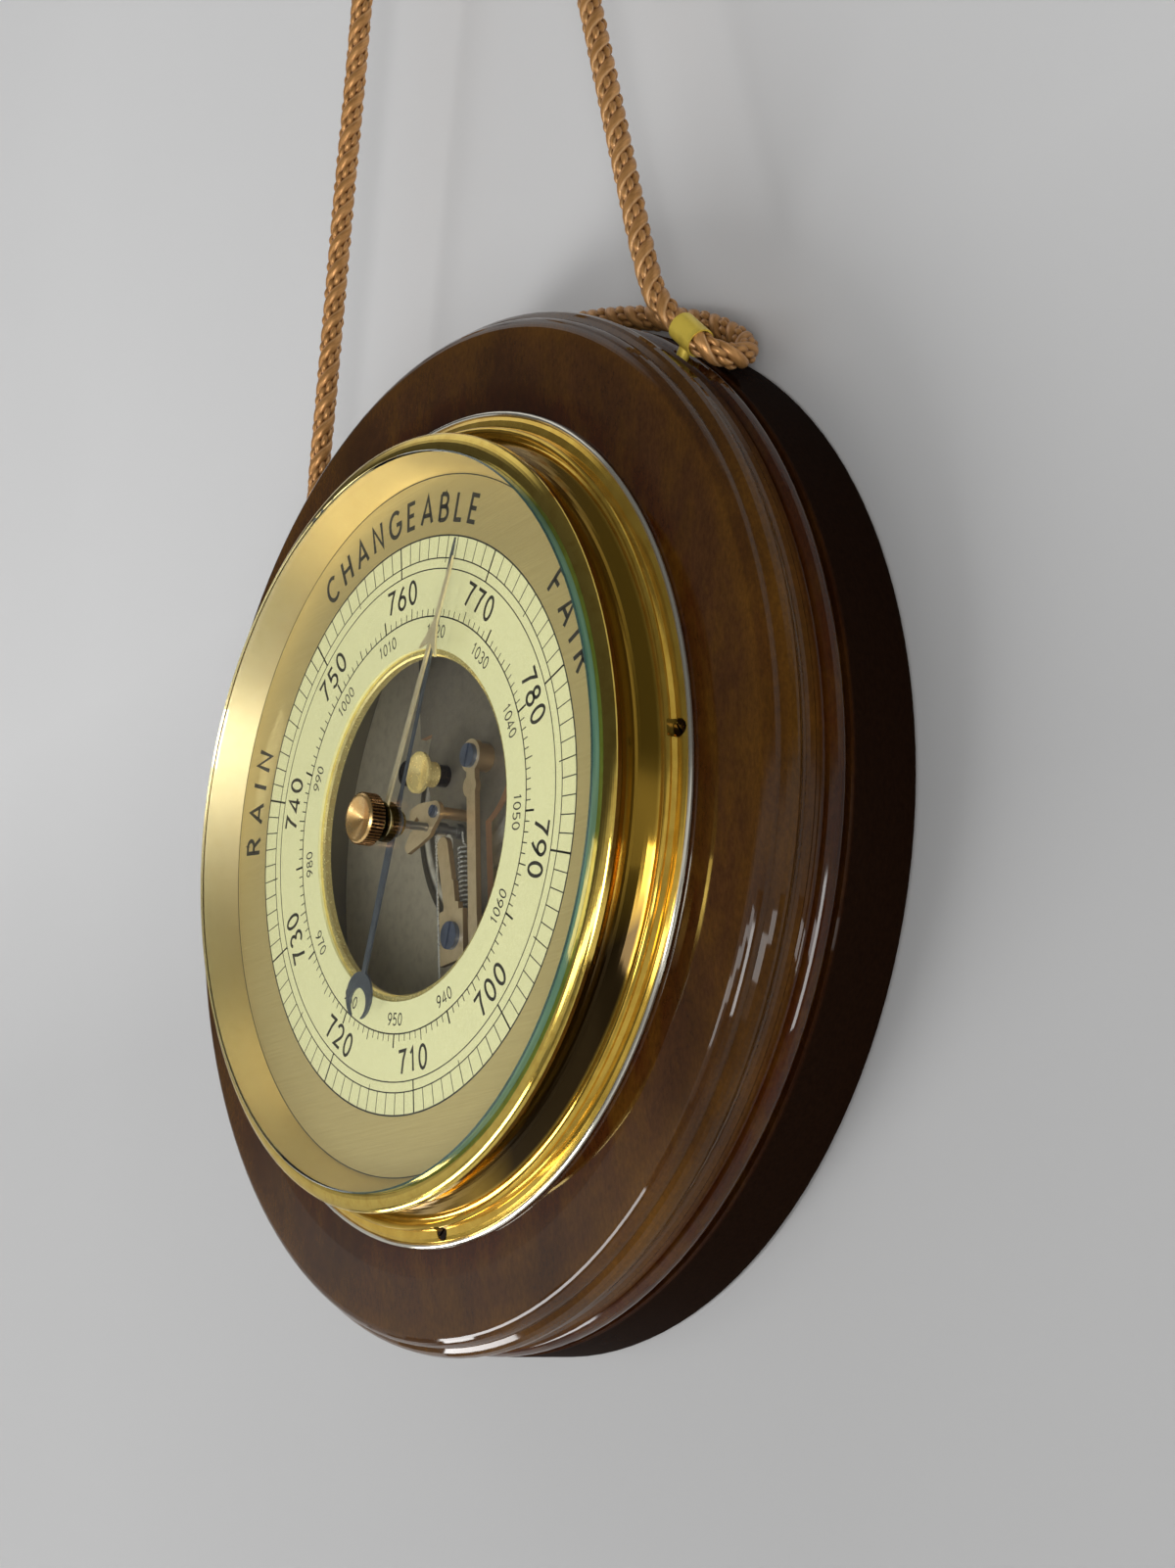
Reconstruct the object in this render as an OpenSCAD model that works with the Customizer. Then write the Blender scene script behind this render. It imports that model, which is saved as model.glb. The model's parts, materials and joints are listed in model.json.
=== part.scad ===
// Round wall barometer: a turned wooden back plate with a brass case let into
// it, an open dial that shows the movement, and a rope to hang it by.
// Millimetres. +Z is up, the front faces -Y, and the origin is the centre of
// the wood's flat back, which lies on the wall.
// Most pieces are drawn in a face frame: x to the right, y up, z off the wall.

/* [Wood plate] */
// Width of the wood outside the brass flange
wood_w = 18.4; // [14:0.1:28]
// Height of the wooden face off the wall
wood_h = 28.6; // [26.6:0.1:33]
// Thickness of the wood left behind the case
wood_web = 4; // [3:0.1:4.8]
// Height of the plain base band below the bead
band_h = 13; // [11:0.1:13.2]
// Radius of the bead above the base band
bead_r = 2; // [1.6:0.1:2.1]
// Radius of the hole in the wood that reaches the setting screw
access_r = 6; // [4.5:0.1:8]

/* [Brass case] */
// Outer radius of the drum that sits in the wood
drum_r = 64.4; // [58:0.1:74]
// Sheet thickness of the drum
drum_wall = 1.2; // [0.9:0.1:1.4]
// Width of the flange outside the drum, up to its rolled rim
flange_w = 7.2; // [6.9:0.1:12]
// Radius of the wire that the flange's rim is rolled over
rim_wire_r = 0.45; // [0.3:0.05:0.5]
// Height of the ridge above the wood's face
ridge_rise = 2.9; // [2.2:0.1:3.4]
// How far the narrow waist below the bezel stands outside the drum
waist_out = 0.6; // [0.4:0.1:2]
// Height of the bezel's seat above the dial's face
seat_rise = 4.6; // [4.2:0.1:6]
// Thickness of the lip that carries the case's back
lip_t = 1.2; // [1:0.1:1.6]
// How far outside the drum the flange screws stand
screw_out = 5.1; // [5:0.05:5.5]
// Radius of a flange screw's head
screw_head_r = 1.35; // [1.1:0.05:1.4]

/* [Bezel and glass] */
// How far the bezel stands outside the drum
bezel_out = 2; // [1.8:0.1:3]
// Height of the bezel's square edge
bezel_edge = 0.7; // [0.4:0.1:1]
// Thickness of the glass
glass_t = 1.9; // [1.6:0.1:2.4]
// How deep the glass sits in the bezel
glass_sunk = 0.5; // [0.3:0.1:0.9]
// Bevel on the glass's edge
glass_bevel = 0.25; // [0.1:0.05:0.5]
// Radius of the hole in the glass
glass_hole_r = 2.6; // [2.2:0.1:2.8]

/* [Dial] */
// Height of the dial's face above the wood's face
dial_rise = 5; // [4.6:0.1:7]
// Thickness of the dial plate
dial_t = 0.8; // [0.6:0.1:1]
// Width of the conical ring between the dial and the glass
reflector_w = 2.7; // [1.6:0.1:4]
// Radius of the dial plate's own opening
dial_open_r = 30.4; // [30:0.1:32]
// Width of the brass rim that shows inside the dial
rim_w = 1.2; // [0.8:0.1:2.4]
// How far the brass rim lies below the dial's face
rim_sunk = 0.5; // [0.2:0.1:0.7]

/* [Hands] */
// Height of the pressure hand's underside above the dial's face
hand_rise = 2.3; // [2.05:0.05:2.4]
// Thickness of the pressure hand
hand_t = 0.4; // [0.3:0.05:0.5]
// Length of the pressure hand from its axis to its tip
hand_len = 49.4; // [44:0.1:52]
// Clock angle of the pressure hand at rest, in degrees
hand_angle = 25.2; // [0:0.1:50]
// Thickness of the set hand
marker_t = 0.4; // [0.3:0.05:0.5]
// Length of the set hand from its axis to its tip
marker_len = 46.7; // [42:0.1:50]
// Clock angle of the set hand, in degrees
marker_angle = 31; // [0:0.1:60]
// Radius of the knob
knob_r = 4.5; // [3.6:0.1:5.5]
// Length of the knob
knob_len = 2.8; // [2.2:0.1:3.6]
// Ribs round the knob
knob_ribs = 44; // [30:1:54]
// Radius of the spindle that the knob turns
spindle_r = 1.2; // [1:0.05:1.4]

/* [Arbor] */
// Radius of the arbor
arbor_r = 0.75; // [0.65:0.05:0.85]
// Radius of the drum that the pull wire winds on
wind_r = 1.2; // [1.1:0.05:1.3]
// Height of the pull wire above the upper plate
wind_rise = 4.7; // [4.5:0.1:4.9]
// Running clearance round arbors, pins and spindles
fit = 0.05; // [0.02:0.01:0.08]

/* [Capsule and lever] */
// Radius of the pressure capsule
capsule_r = 25; // [22:0.1:25.6]
// Height of the capsule's rim above the base plate
capsule_rise = 3.5; // [3.2:0.1:3.8]
// Corrugations in each side of the capsule
waves = 5; // [3:1:6]
// Width of the main lever
lever_w = 4; // [3.8:0.1:4.4]
// Thickness of the main lever
lever_t = 1.2; // [1:0.1:1.4]
// Height of the main lever's hinge above the base plate
lever_rise = 7.5; // [7.3:0.1:7.7]

/* [Rocking shaft] */
// Radius of the rocking shaft
shaft_r = 0.9; // [0.7:0.05:1.1]
// Height of the rocking shaft above the base plate
shaft_rise = 2.7; // [2.5:0.1:2.9]
// How far the rocking shaft lies below the dial's centre
shaft_drop = 30; // [29.6:0.1:31]
// Length of the shaft's short arm to the link
short_arm = 5.8; // [5.6:0.1:6]
// Radius of the round long arm
long_arm_r = 0.6; // [0.45:0.05:0.65]
// Radius of the link rod
link_r = 0.4; // [0.3:0.05:0.45]

/* [Movement plates] */
// Radius of the round base plate
base_r = 47; // [46.5:0.1:52]
// Thickness of the base plate
base_t = 1.5; // [1.2:0.1:1.8]
// Height of the upper plate above the base plate
upper_rise = 11.1; // [11:0.05:11.4]
// Thickness of the upper plate
upper_t = 1.2; // [1:0.05:1.3]
// Height of the two arms above the upper plate
arms_rise = 2.4; // [2.35:0.05:2.6]
// Thickness of the two arms
arms_t = 1; // [0.8:0.05:1.05]
// Radius of the blued screws' heads
blued_r = 2.45; // [2:0.05:2.6]
// Radius of the adjusting nut
nut_r = 3.7; // [3:0.1:4.2]

/* [Return spring] */
// Outer radius of the return spring
spring_r = 1.1; // [0.95:0.05:1.15]
// Wire thickness of the return spring
spring_wire = 0.35; // [0.25:0.05:0.4]
// Turns in the return spring
spring_turns = 13; // [9:1:14]
// Rise of one turn of the return spring
spring_pitch = 0.85; // [0.8:0.01:0.88]

/* [Rope and hook] */
// Thickness of the hanging rope
rope_d = 4.3; // [3.6:0.1:4.4]
// Wall of the brass sleeves
sleeve_wall = 0.3; // [0.2:0.05:0.4]
// Length of the brass sleeves
sleeve_len = 5.6; // [4.6:0.1:5.7]
// Clock angle of the sleeves
eye_angle = 41.4; // [41:0.1:42]
// How far the sleeves' centres stand off the wood's side
eye_out = 3.2; // [3.1:0.05:3.4]
// Height of the sleeves' centres off the wall
eye_h = 17.3; // [17:0.1:17.6]
// Radius of the hook's bar
hook_r = 2.8; // [2.4:0.1:2.9]
// Height of the hook's bar above the dial's centre
hook_z = 301.7; // [301.5:0.1:301.7]
// How far the hook's bar reaches off the wall
hook_reach = 26; // [24.5:0.1:30]
// Height of the hook's turned up tip
hook_tip = 7; // [4:0.1:10]
// Width of the hook's wall plate
hook_w = 15; // [11:0.1:22]
// Thickness of the hook's wall plate
hook_t = 3; // [2.2:0.1:5]
// Radius of the screw hole in the hook's plate
hook_hole_r = 2.1; // [1.6:0.1:2.4]

/* [Hidden] */
$fn = 96;
eps = 0.01;
// case
shell_in_r = drum_r - drum_wall;
drum_gap = 2;
shell_back = wood_web + drum_gap;
back_h = shell_back + lip_t;
back_t = 1.2;
shoulder_w = 1;
shoulder_t = 1.2;
lip_w = 3.2;
flange_r = drum_r + flange_w;
flange_t = 1;
ridge_r = drum_r + 4;
waist_r = drum_r + waist_out;
bezel_r = drum_r + bezel_out;
screw_ring_r = drum_r + screw_out;
screw_deep = 9;
screw_core_r = 0.85;
// wood
wood_r = flange_r + wood_w;
recess_gap = 0.5;
recess_r = drum_r + recess_gap;
bead_h = band_h + bead_r + 0.1;
groove_h = bead_h + bead_r + 0.8;
cove_h = groove_h + 2.4;
arris_h = wood_h - 3.5;
// stack from the wood's face to the glass
dial_h = wood_h + dial_rise;
dial_back = dial_h - dial_t;
dial_show_r = shell_in_r - reflector_w;
rim_open_r = dial_open_r - rim_w;
rim_t = 1.2;
rim_back = dial_back - rim_t;
seat_h = dial_h + seat_rise;
cove_low = wood_h + ridge_rise - 0.3;
cove_top = seat_h - 3;
glass_h = seat_h + 1.3;
glass_top = glass_h + glass_t;
glass_r = shell_in_r - fit;
hand_h = dial_h + hand_rise;
// set hand and knob
bush_flange = 0.5;
bush_front = 0.3;
marker_h = glass_h - bush_flange - marker_t - 0.2;
collar_t = 1.1;
collar_r = 3.5;
knob_h = glass_top + bush_front + 0.1;
collet_r = 2.1;
collet_h = hand_h - 0.7;
collet_top = marker_h - collar_t - 0.45;
// movement positions in the face frame
cap_x = -2.2;
cap_z = 7;
hinge_z = 42;
base_h = back_h + back_t;
base_top = base_h + base_t;
capsule_h = base_top + capsule_rise;
lever_h = base_top + lever_rise;
lever_back = lever_h - lever_t / 2;
lever_side = lever_w / 2;
lever_low = -shaft_drop + short_arm;
shaft_h = base_top + shaft_rise;
upper_h = base_top + upper_rise;
upper_top = upper_h + upper_t;
arms_h = upper_top + arms_rise;
arms_top = arms_h + arms_t;
wind_h = upper_top + wind_rise;
wire_r = 0.2;
wire_x = -(wind_r + wire_r + fit);
spring_x = 1.6;
spring_h = upper_top + 1.2;
spring_top = -3;
spring_drum_r = 1.35;
spring_drum_t = 1.2;
claw_h = arms_top + 3.4;
claw_t = 0.8;
claw_post = [2.6, 2.2];
claw_post_r = 1.05;
disc_at = [2.5, 13.1];
disc_r = 13.5;
bridge_at = [-13, 20];
bridge_size = [26.5, 19];
neck_at = [-3.4, -21.6];
neck_size = [10.4, 36];
neck_end_r = 2.6;
nut_at = [-5.3, 11.3];
nut_rim_t = 0.6;
upper_posts = [[-10, 36.5], [10.5, 36.5], [5.5, -21.5]];
upper_post_r = 1.8;
post_screw_r = 0.85;
long_top = [7.9, 11.4];
long_foot = [7.2, -36];
long_knee = [7.2, -17];
long_w = 2.6;
long_low_w = 2.8;
long_ring_r = 2.9;
long_bulge_r = 2;
long_foot_r = 2.6;
arm_screw_r = 0.95;
foot_at = [0.7, -18.8];
pivot_r = 0.5;
hinge_r = 0.8;
hinge_eye_r = 1.9;
cheek_t = 1.4;
cheek_gap = 0.5;
bearing_x = [-14.4, 13.2];
bearing_t = 1.8;
bearing_r = 2.6;
link_collar_r = 0.9;
link_collar_t = 0.7;
base_screw_ring = base_r - 5;
base_screw_at = [60, 180, 300];
base_screw_r = 1.25;
base_screw_head_r = 2.4;
setting_r = 1.8;
setting_head_r = 3;
// sleeves
sleeve_yaw = 8;
sleeve_tilt = 8.2;
shank_r = 1.1;
shank_in = 9;
// rope: the route's own points, x, y and z, for the right half
rope_up = [
    [0, -20.6, 306.95],
    [2.3, -20.6, 306.4],
    [4.1, -20.6, 304.9],
    [5.1, -20.6, 302.8],
    [7.4, -20.6, 292.5],
    [10.7, -20.6, 277.5],
    [14.1, -20.5, 262.5],
    [17.4, -20.5, 247.5],
    [20.7, -20.4, 232.5],
    [24.1, -20.4, 217.5],
    [27.4, -20.3, 202.5],
    [30.8, -20.3, 187.5],
    [34.1, -20.2, 172.5],
    [37.4, -20.1, 157.5],
    [40.8, -20.1, 142.5],
    [44.1, -20, 127.5],
    [47.4, -19.9, 112.5],
    [50.4, -19.8, 99],
    [53.3, -19.7, 86.5],
    [55.6, -19.2, 78.4],
    [59.8, -17.73, 72.1]
];
rope_low = [
    [61.7, -17.31, 69.88],
    [63.6, -16.89, 67.66],
    [64.9, -14.3, 66.1],
    [65.3, -11.1, 66.2],
    [64.2, -8.2, 68],
    [61.7, -6.3, 70.9],
    [57.6, -5.6, 74.4],
    [51.1, -5.9, 78.8],
    [42.5, -7.4, 82.7],
    [33, -8.4, 86.4],
    [20, -8.8, 90.4],
    [7, -9, 92.4]
];
rope_sides = 10;

// Helpers
module face() {
    rotate([90, 0, 0]) children();
}

module turned() {
    face() rotate_extrude($fn = 180) children();
}

module at_clock(angle, r = 0) {
    rotate([0, 0, -angle]) translate([0, r, 0]) children();
}

module rod(at, h0, h1, r) {
    translate([at[0], at[1], h0]) cylinder(r = r, h = h1 - h0, $fn = 48);
}

module across(x0, x1, z, h, r) {
    translate([x0, z, h]) rotate([0, 90, 0]) cylinder(r = r, h = x1 - x0, $fn = 40);
}

module plate(h0, t) {
    translate([0, 0, h0]) linear_extrude(t) children();
}

module bar(a, b, w) {
    hull() {
        translate(a) circle(d = w, $fn = 32);
        translate(b) circle(d = w, $fn = 32);
    }
}

module slotted_head(at, h0, h1, r, slot = 0.5, turn = 20) {
    translate([at[0], at[1], h0]) difference() {
        cylinder(r = r, h = h1 - h0, $fn = 48);
        rotate([0, 0, turn]) translate([-r - 1, -slot / 2, (h1 - h0) / 2])
            cube([2 * r + 2, slot, h1 - h0]);
    }
}

function arc(c, r, a0, a1, n) =
    [for (i = [0:n]) let (a = a0 + (a1 - a0) * i / n) [c[0] + r * cos(a), c[1] + r * sin(a)]];

function unit(v) = v / norm(v);

function flip(p) = [-p[0], p[1], p[2]];

function backwards(list) = [for (i = [len(list) - 1:-1:0]) list[i]];

// tangent at each point of a path
function tangents(path) =
    [for (i = [0:len(path) - 1])
        unit(path[min(i + 1, len(path) - 1)] - path[max(i - 1, 0)])];

// one normal for each tangent, carried along without twist
function normals(t, first) =
    [for (i = 0, n = unit(first - (first * t[0]) * t[0]);
        i < len(t);
        n = i + 1 < len(t) ? unit(n - (n * t[i + 1]) * t[i + 1]) : n, i = i + 1) n];

// a closed round tube of some sides along a path
module tube(path, r, sides, first) {
    t = tangents(path);
    n = normals(t, first);
    last = len(path) - 1;
    points = [for (i = [0:last], k = [0:sides - 1])
        path[i] + r * (cos(360 * k / sides) * n[i] + sin(360 * k / sides) * cross(t[i], n[i]))];
    walls = [for (i = [0:last - 1], k = [0:sides - 1], half = [0, 1])
        let (a = i * sides + k, b = i * sides + (k + 1) % sides)
            half == 0 ? [a, b, b + sides] : [a, b + sides, a + sides]];
    caps = [for (k = [1:sides - 2], end = [0, 1])
        end == 0 ? [0, k + 1, k] : [last * sides, last * sides + k, last * sides + k + 1]];
    polyhedron(points = points, faces = [for (f = concat(walls, caps)) backwards(f)]);
}

// Wood
function wood_side() = concat(
    [[wood_r - 0.6, 0], [wood_r - 0.15, 0.2], [wood_r, 0.7], [wood_r, band_h - 0.3],
     [wood_r - 0.3, band_h], [wood_r - 1.4, band_h]],
    arc([wood_r - bead_r, bead_h], bead_r, -62, 78, 12),
    // two fine grooves above the bead, as radius and height steps
    [for (q = [[-1.7, 0], [-0.8, 0.3], [-0.5, 0.5], [-0.9, 0.8], [-0.5, 1.05], [-0.85, 1.35],
               [-0.7, 1.7]]) [wood_r + q[0], groove_h + q[1]]],
    // shallow cove and upper bead, as radius steps and 48ths of the height up to the arris
    [for (q = [[-1.05, 0], [-1.1, 7], [-0.8, 16], [-0.15, 24], [0.2, 30], [0.2, 35], [-0.1, 43],
               [-0.6, 48]]) [wood_r + q[0], cove_h + (arris_h - cove_h) * q[1] / 48]],
    [[wood_r - 1.4, arris_h + 0.5]],
    arc([wood_r - 3.8, wood_h - 2.8], 2.4, 0, 80, 8),
    [[wood_r - 4.6, wood_h - 0.38], [wood_r - 6.5, wood_h - 0.31],
     [wood_r - 9, wood_h - 0.22], [wood_r - 13, wood_h - 0.06], [wood_r - 17.5, wood_h]]);

module wood_plate() {
    color([0.26, 0.15, 0.09]) face() difference() {
        rotate_extrude($fn = 180) polygon(concat([[0, 0]], wood_side(), [[0, wood_h]]));
        translate([0, 0, wood_web]) cylinder(r = recess_r, h = wood_h, $fn = 180);
        rod([cap_x, cap_z], -1, wood_web + 1, access_r);
        for (a = [0:90:270]) at_clock(a, screw_ring_r)
            translate([0, 0, wood_h - screw_deep])
                cylinder(r = screw_core_r + fit, h = screw_deep + 1, $fn = 32);
        for (s = [-1, 1]) eye_place(s) eye_shank(fit, 0.5);
    }
}

// Case
module case_shell() {
    color([0.78, 0.62, 0.25]) face() difference() {
        rotate_extrude($fn = 180) polygon(concat(
            [[shell_in_r - lip_w, shell_back], [drum_r, shell_back], [drum_r, wood_h],
             [flange_r, wood_h]],
            arc([flange_r, wood_h + rim_wire_r], rim_wire_r, -70, 160, 8),
            [[flange_r - 0.6, wood_h + flange_t - 0.25], [flange_r - 1.2, wood_h + flange_t],
             [flange_r - 2.1, wood_h + flange_t + 0.12],
             [ridge_r + 0.75, wood_h + flange_t + 0.15]],
            arc([ridge_r, wood_h + ridge_rise - 0.6], 0.6, -35, 170, 9),
            [[ridge_r - 0.85, wood_h + ridge_rise - 1],
             [ridge_r - 1.3, wood_h + ridge_rise - 0.75]],
            [for (k = [0:8]) let (u = k / 8)
                [ridge_r - 1.5 - (ridge_r - 1.5 - waist_r) * sin(90 * u),
                 cove_low + u * (cove_top - cove_low)]],
            [[waist_r + 0.1, seat_h - 1.9], [waist_r + 0.35, seat_h - 1], [waist_r + 0.8, seat_h],
             [shell_in_r, seat_h], [shell_in_r, dial_back], [shell_in_r - shoulder_w, dial_back],
             [shell_in_r - shoulder_w, dial_back - shoulder_t],
             [shell_in_r, dial_back - shoulder_t - 0.8],
             [shell_in_r, back_h], [shell_in_r - lip_w, back_h]]));
        for (a = [0:90:270]) at_clock(a, screw_ring_r) {
            translate([0, 0, wood_h - 1]) cylinder(r = screw_core_r + 0.1, h = 3, $fn = 32);
            translate([0, 0, wood_h + 0.25])
                cylinder(r1 = screw_core_r + 0.1, r2 = screw_head_r + 0.15, h = 0.5, $fn = 32);
            translate([0, 0, wood_h + 0.75]) cylinder(r = screw_head_r + 0.15, h = 2, $fn = 32);
        }
    }
}

module flange_screws() {
    color([0.25, 0.22, 0.18]) face() for (a = [0:90:270]) at_clock(a, screw_ring_r) difference() {
        union() {
            translate([0, 0, wood_h - screw_deep + 0.5])
                cylinder(r = screw_core_r, h = screw_deep, $fn = 32);
            translate([0, 0, wood_h + 0.3])
                cylinder(r1 = screw_core_r, r2 = screw_head_r, h = 0.5, $fn = 32);
            translate([0, 0, wood_h + 0.8]) cylinder(r = screw_head_r, h = 0.2, $fn = 32);
        }
        rotate([0, 0, 35]) translate([-2, -0.2, wood_h + 0.65]) cube([4, 0.4, 1]);
    }
}

module case_back() {
    color([0.55, 0.45, 0.25]) face() difference() {
        plate(back_h, back_t) circle(r = shell_in_r - 0.1, $fn = 180);
        rod([cap_x, cap_z], back_h - 1, base_h + 1, setting_head_r + 0.4);
        base_screw_holes(back_h - 1, base_h + 1);
    }
}

module bezel_ring() {
    color([0.8, 0.64, 0.28]) turned() polygon(concat(
        [[shell_in_r, seat_h], [bezel_r, seat_h], [bezel_r, seat_h + bezel_edge]],
        [for (k = [1:8]) let (a = 90 * k / 8)
            [shell_in_r + 0.35 + (bezel_r - shell_in_r - 0.35) * cos(a),
             seat_h + bezel_edge + (glass_h + glass_sunk - seat_h - bezel_edge) * sin(a)]],
        [[shell_in_r, glass_h + glass_sunk]]));
}

module glass() {
    color([0.75, 0.88, 0.84, 0.25]) face() difference() {
        rotate_extrude($fn = 180) polygon([
            [0, glass_h], [glass_r - glass_bevel, glass_h], [glass_r, glass_h + glass_bevel],
            [glass_r, glass_top - glass_bevel], [glass_r - glass_bevel, glass_top], [0, glass_top]]);
        rod([0, 0], glass_h - 1, glass_top + 1, glass_hole_r);
    }
}

module reflector() {
    color([0.86, 0.74, 0.42]) turned() polygon([
        [dial_show_r, dial_h], [shell_in_r - 0.1, dial_h],
        [shell_in_r - 0.1, glass_h], [shell_in_r - 0.3, glass_h]]);
}

// Dial
module dial_plate() {
    color([0.92, 0.92, 0.7]) face() plate(dial_back, dial_t) difference() {
        circle(r = shell_in_r - 0.1, $fn = 180);
        circle(r = dial_open_r, $fn = 180);
    }
}

module dial_rim() {
    color([0.82, 0.66, 0.3]) turned() polygon([
        [rim_open_r, rim_back], [dial_open_r + 3, rim_back], [dial_open_r + 3, dial_back],
        [dial_open_r - 0.05, dial_back], [dial_open_r - 0.05, dial_h - rim_sunk],
        [rim_open_r + 0.3, dial_h - rim_sunk], [rim_open_r, dial_h - rim_sunk - 0.3]]);
}

// Movement, behind the upper plate
module base_screw_holes(h0, h1) {
    for (a = base_screw_at) at_clock(a, base_screw_ring) rod([0, 0], h0, h1, base_screw_r + fit);
}

module base_plate() {
    color([0.6, 0.5, 0.3]) face() difference() {
        plate(base_h, base_t) circle(r = base_r, $fn = 120);
        rod([cap_x, cap_z], base_h - 1, base_top + 1, setting_r + fit);
        rod([cap_x, lever_low], base_h - 1, base_top + 1, link_collar_r + 1.5);
        base_screw_holes(base_h - 1, base_top + 1);
    }
}

module base_screws() {
    color([0.3, 0.3, 0.33]) face() for (a = base_screw_at) at_clock(a, base_screw_ring) {
        rod([0, 0], back_h - 0.4, base_top, base_screw_r);
        slotted_head([0, 0], base_top, base_top + 1, base_screw_head_r);
    }
}

function corrugated(h0, rise, up) =
    [for (k = [0:waves * 6]) let (u = k / (waves * 6), r = capsule_r - 1.4 - u * (capsule_r - 6))
        [r, h0 + up * (0.7 + rise * u + 0.3 * sin(360 * waves * u - 90) + 0.3)]];

module capsule_rear() {
    color([0.62, 0.56, 0.42]) face() translate([cap_x, cap_z, 0]) difference() {
        rotate_extrude($fn = 120) polygon(concat(
            [[0, capsule_h], [capsule_r, capsule_h], [capsule_r, capsule_h - 0.5],
             [capsule_r - 0.9, capsule_h - 0.5]],
            corrugated(capsule_h, 1.1, -1),
            [[4, base_top], [0, base_top]]));
        rod([0, 0], base_top - 1, base_top + 1.2, setting_r + fit);
    }
}

module capsule_front() {
    color([0.68, 0.62, 0.48]) face() translate([cap_x, cap_z, 0]) rotate_extrude($fn = 120)
        polygon(concat(
            [[0, capsule_h], [capsule_r, capsule_h], [capsule_r, capsule_h + 0.5],
             [capsule_r - 0.9, capsule_h + 0.5]],
            corrugated(capsule_h, 0.8, 1),
            [[0, capsule_h + 2]]));
}

module capsule_stem() {
    color([0.5, 0.5, 0.52]) face() {
        rod([cap_x, cap_z], capsule_h + 2, lever_back - 0.6, 2);
        rod([cap_x, cap_z], lever_back - 0.6, lever_back - 0.2, 0.6);
    }
}

module setting_screw() {
    color([0.35, 0.35, 0.38]) face() difference() {
        union() {
            rod([cap_x, cap_z], base_h - 0.6, base_top + 1, setting_r);
            rod([cap_x, cap_z], back_h - 1.4, base_h - 0.6, setting_head_r);
        }
        translate([cap_x - setting_head_r - 1, cap_z - 0.35, back_h - 2])
            cube([2 * setting_head_r + 2, 0.7, 1.4]);
    }
}

module lever_bracket() {
    color([0.6, 0.5, 0.3]) face() difference() {
        union() {
            for (s = [-1, 1]) translate([cap_x + s * (lever_side + cheek_gap + cheek_t / 2), hinge_z, 0]) {
                translate([-cheek_t / 2, -2.4, base_top]) cube([cheek_t, 4.8, lever_h - base_top]);
                across(-cheek_t / 2, cheek_t / 2, 0, lever_h, 2.4);
            }
            translate([cap_x - lever_side - cheek_gap - cheek_t, hinge_z - 2.4, base_top])
                cube([lever_w + 2 * (cheek_gap + cheek_t), 4.8, 1.2]);
        }
        across(cap_x - lever_w * 2, cap_x + lever_w * 2, hinge_z, lever_h, hinge_r);
    }
}

module lever_pin() {
    reach = lever_side + cheek_gap + cheek_t + 0.4;
    color([0.4, 0.4, 0.43]) face() across(cap_x - reach, cap_x + reach, hinge_z, lever_h, hinge_r);
}

module main_lever() {
    cheek = 0.8;
    color([0.66, 0.55, 0.32]) face() {
        difference() {
            union() {
                translate([cap_x - lever_side, lever_low + 2.2, lever_back])
                    cube([lever_w, hinge_z - lever_low - 2.2, lever_t]);
                across(cap_x - lever_side, cap_x + lever_side, hinge_z, lever_h, hinge_eye_r);
                for (x = [-lever_side, lever_side - cheek])
                    translate([cap_x + x, lever_low - 1.4, lever_back]) cube([cheek, 4, lever_t]);
            }
            across(cap_x - lever_w, cap_x + lever_w, hinge_z, lever_h, hinge_r + fit);
        }
        across(cap_x - lever_side + 0.2, cap_x + lever_side - 0.2, lever_low, lever_h, pivot_r);
    }
}

module link_rod() {
    eye_w = lever_w - 2;
    color([0.55, 0.55, 0.57]) face() {
        difference() {
            union() {
                across(cap_x - eye_w / 2, cap_x + eye_w / 2, lever_low, lever_h, 1.2);
                rod([cap_x, lever_low], shaft_h - 2, lever_h - 0.8, link_r);
            }
            across(cap_x - eye_w, cap_x + eye_w, lever_low, lever_h, pivot_r + fit);
        }
        for (h = [shaft_h - 1.2 - link_collar_t, shaft_h + 1.4])
            rod([cap_x, lever_low], h, h + link_collar_t, link_collar_r);
    }
}

module shaft_bearings() {
    color([0.6, 0.5, 0.3]) face() for (x = bearing_x) difference() {
        union() {
            translate([x - bearing_t / 2, -shaft_drop - bearing_r, base_top])
                cube([bearing_t, 2 * bearing_r, shaft_rise]);
            across(x - bearing_t / 2, x + bearing_t / 2, -shaft_drop, shaft_h, bearing_r);
        }
        across(x - bearing_t, x + bearing_t, -shaft_drop, shaft_h, pivot_r + fit);
    }
}

module rocking_shaft() {
    arm_w = 3.2;
    slot_r = link_r + 0.4;
    ends = [bearing_x[0] + bearing_t / 2, bearing_x[1] - bearing_t / 2];
    color([0.5, 0.5, 0.53]) face() {
        across(ends[0] + 0.2, ends[1] - 0.2, -shaft_drop, shaft_h, shaft_r);
        across(ends[0] - bearing_t, ends[1] + bearing_t, -shaft_drop, shaft_h, pivot_r);
        difference() {
            translate([cap_x - arm_w / 2, -shaft_drop, shaft_h - 0.5])
                cube([arm_w, short_arm + 2, 1]);
            for (s = [-0.5, 0.5]) rod([cap_x, lever_low + s], shaft_h - 2, shaft_h + 2, slot_r);
            translate([cap_x - slot_r, lever_low - 0.5, shaft_h - 2]) cube([2 * slot_r, 1, 4]);
        }
        rod([wire_x, -shaft_drop], shaft_h, wind_h + 0.8, long_arm_r);
    }
}

// Movement, upper plate and in front of it
module upper_posts() {
    color([0.66, 0.55, 0.32]) face() for (p = upper_posts) rod(p, base_top, upper_h, upper_post_r);
}

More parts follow.
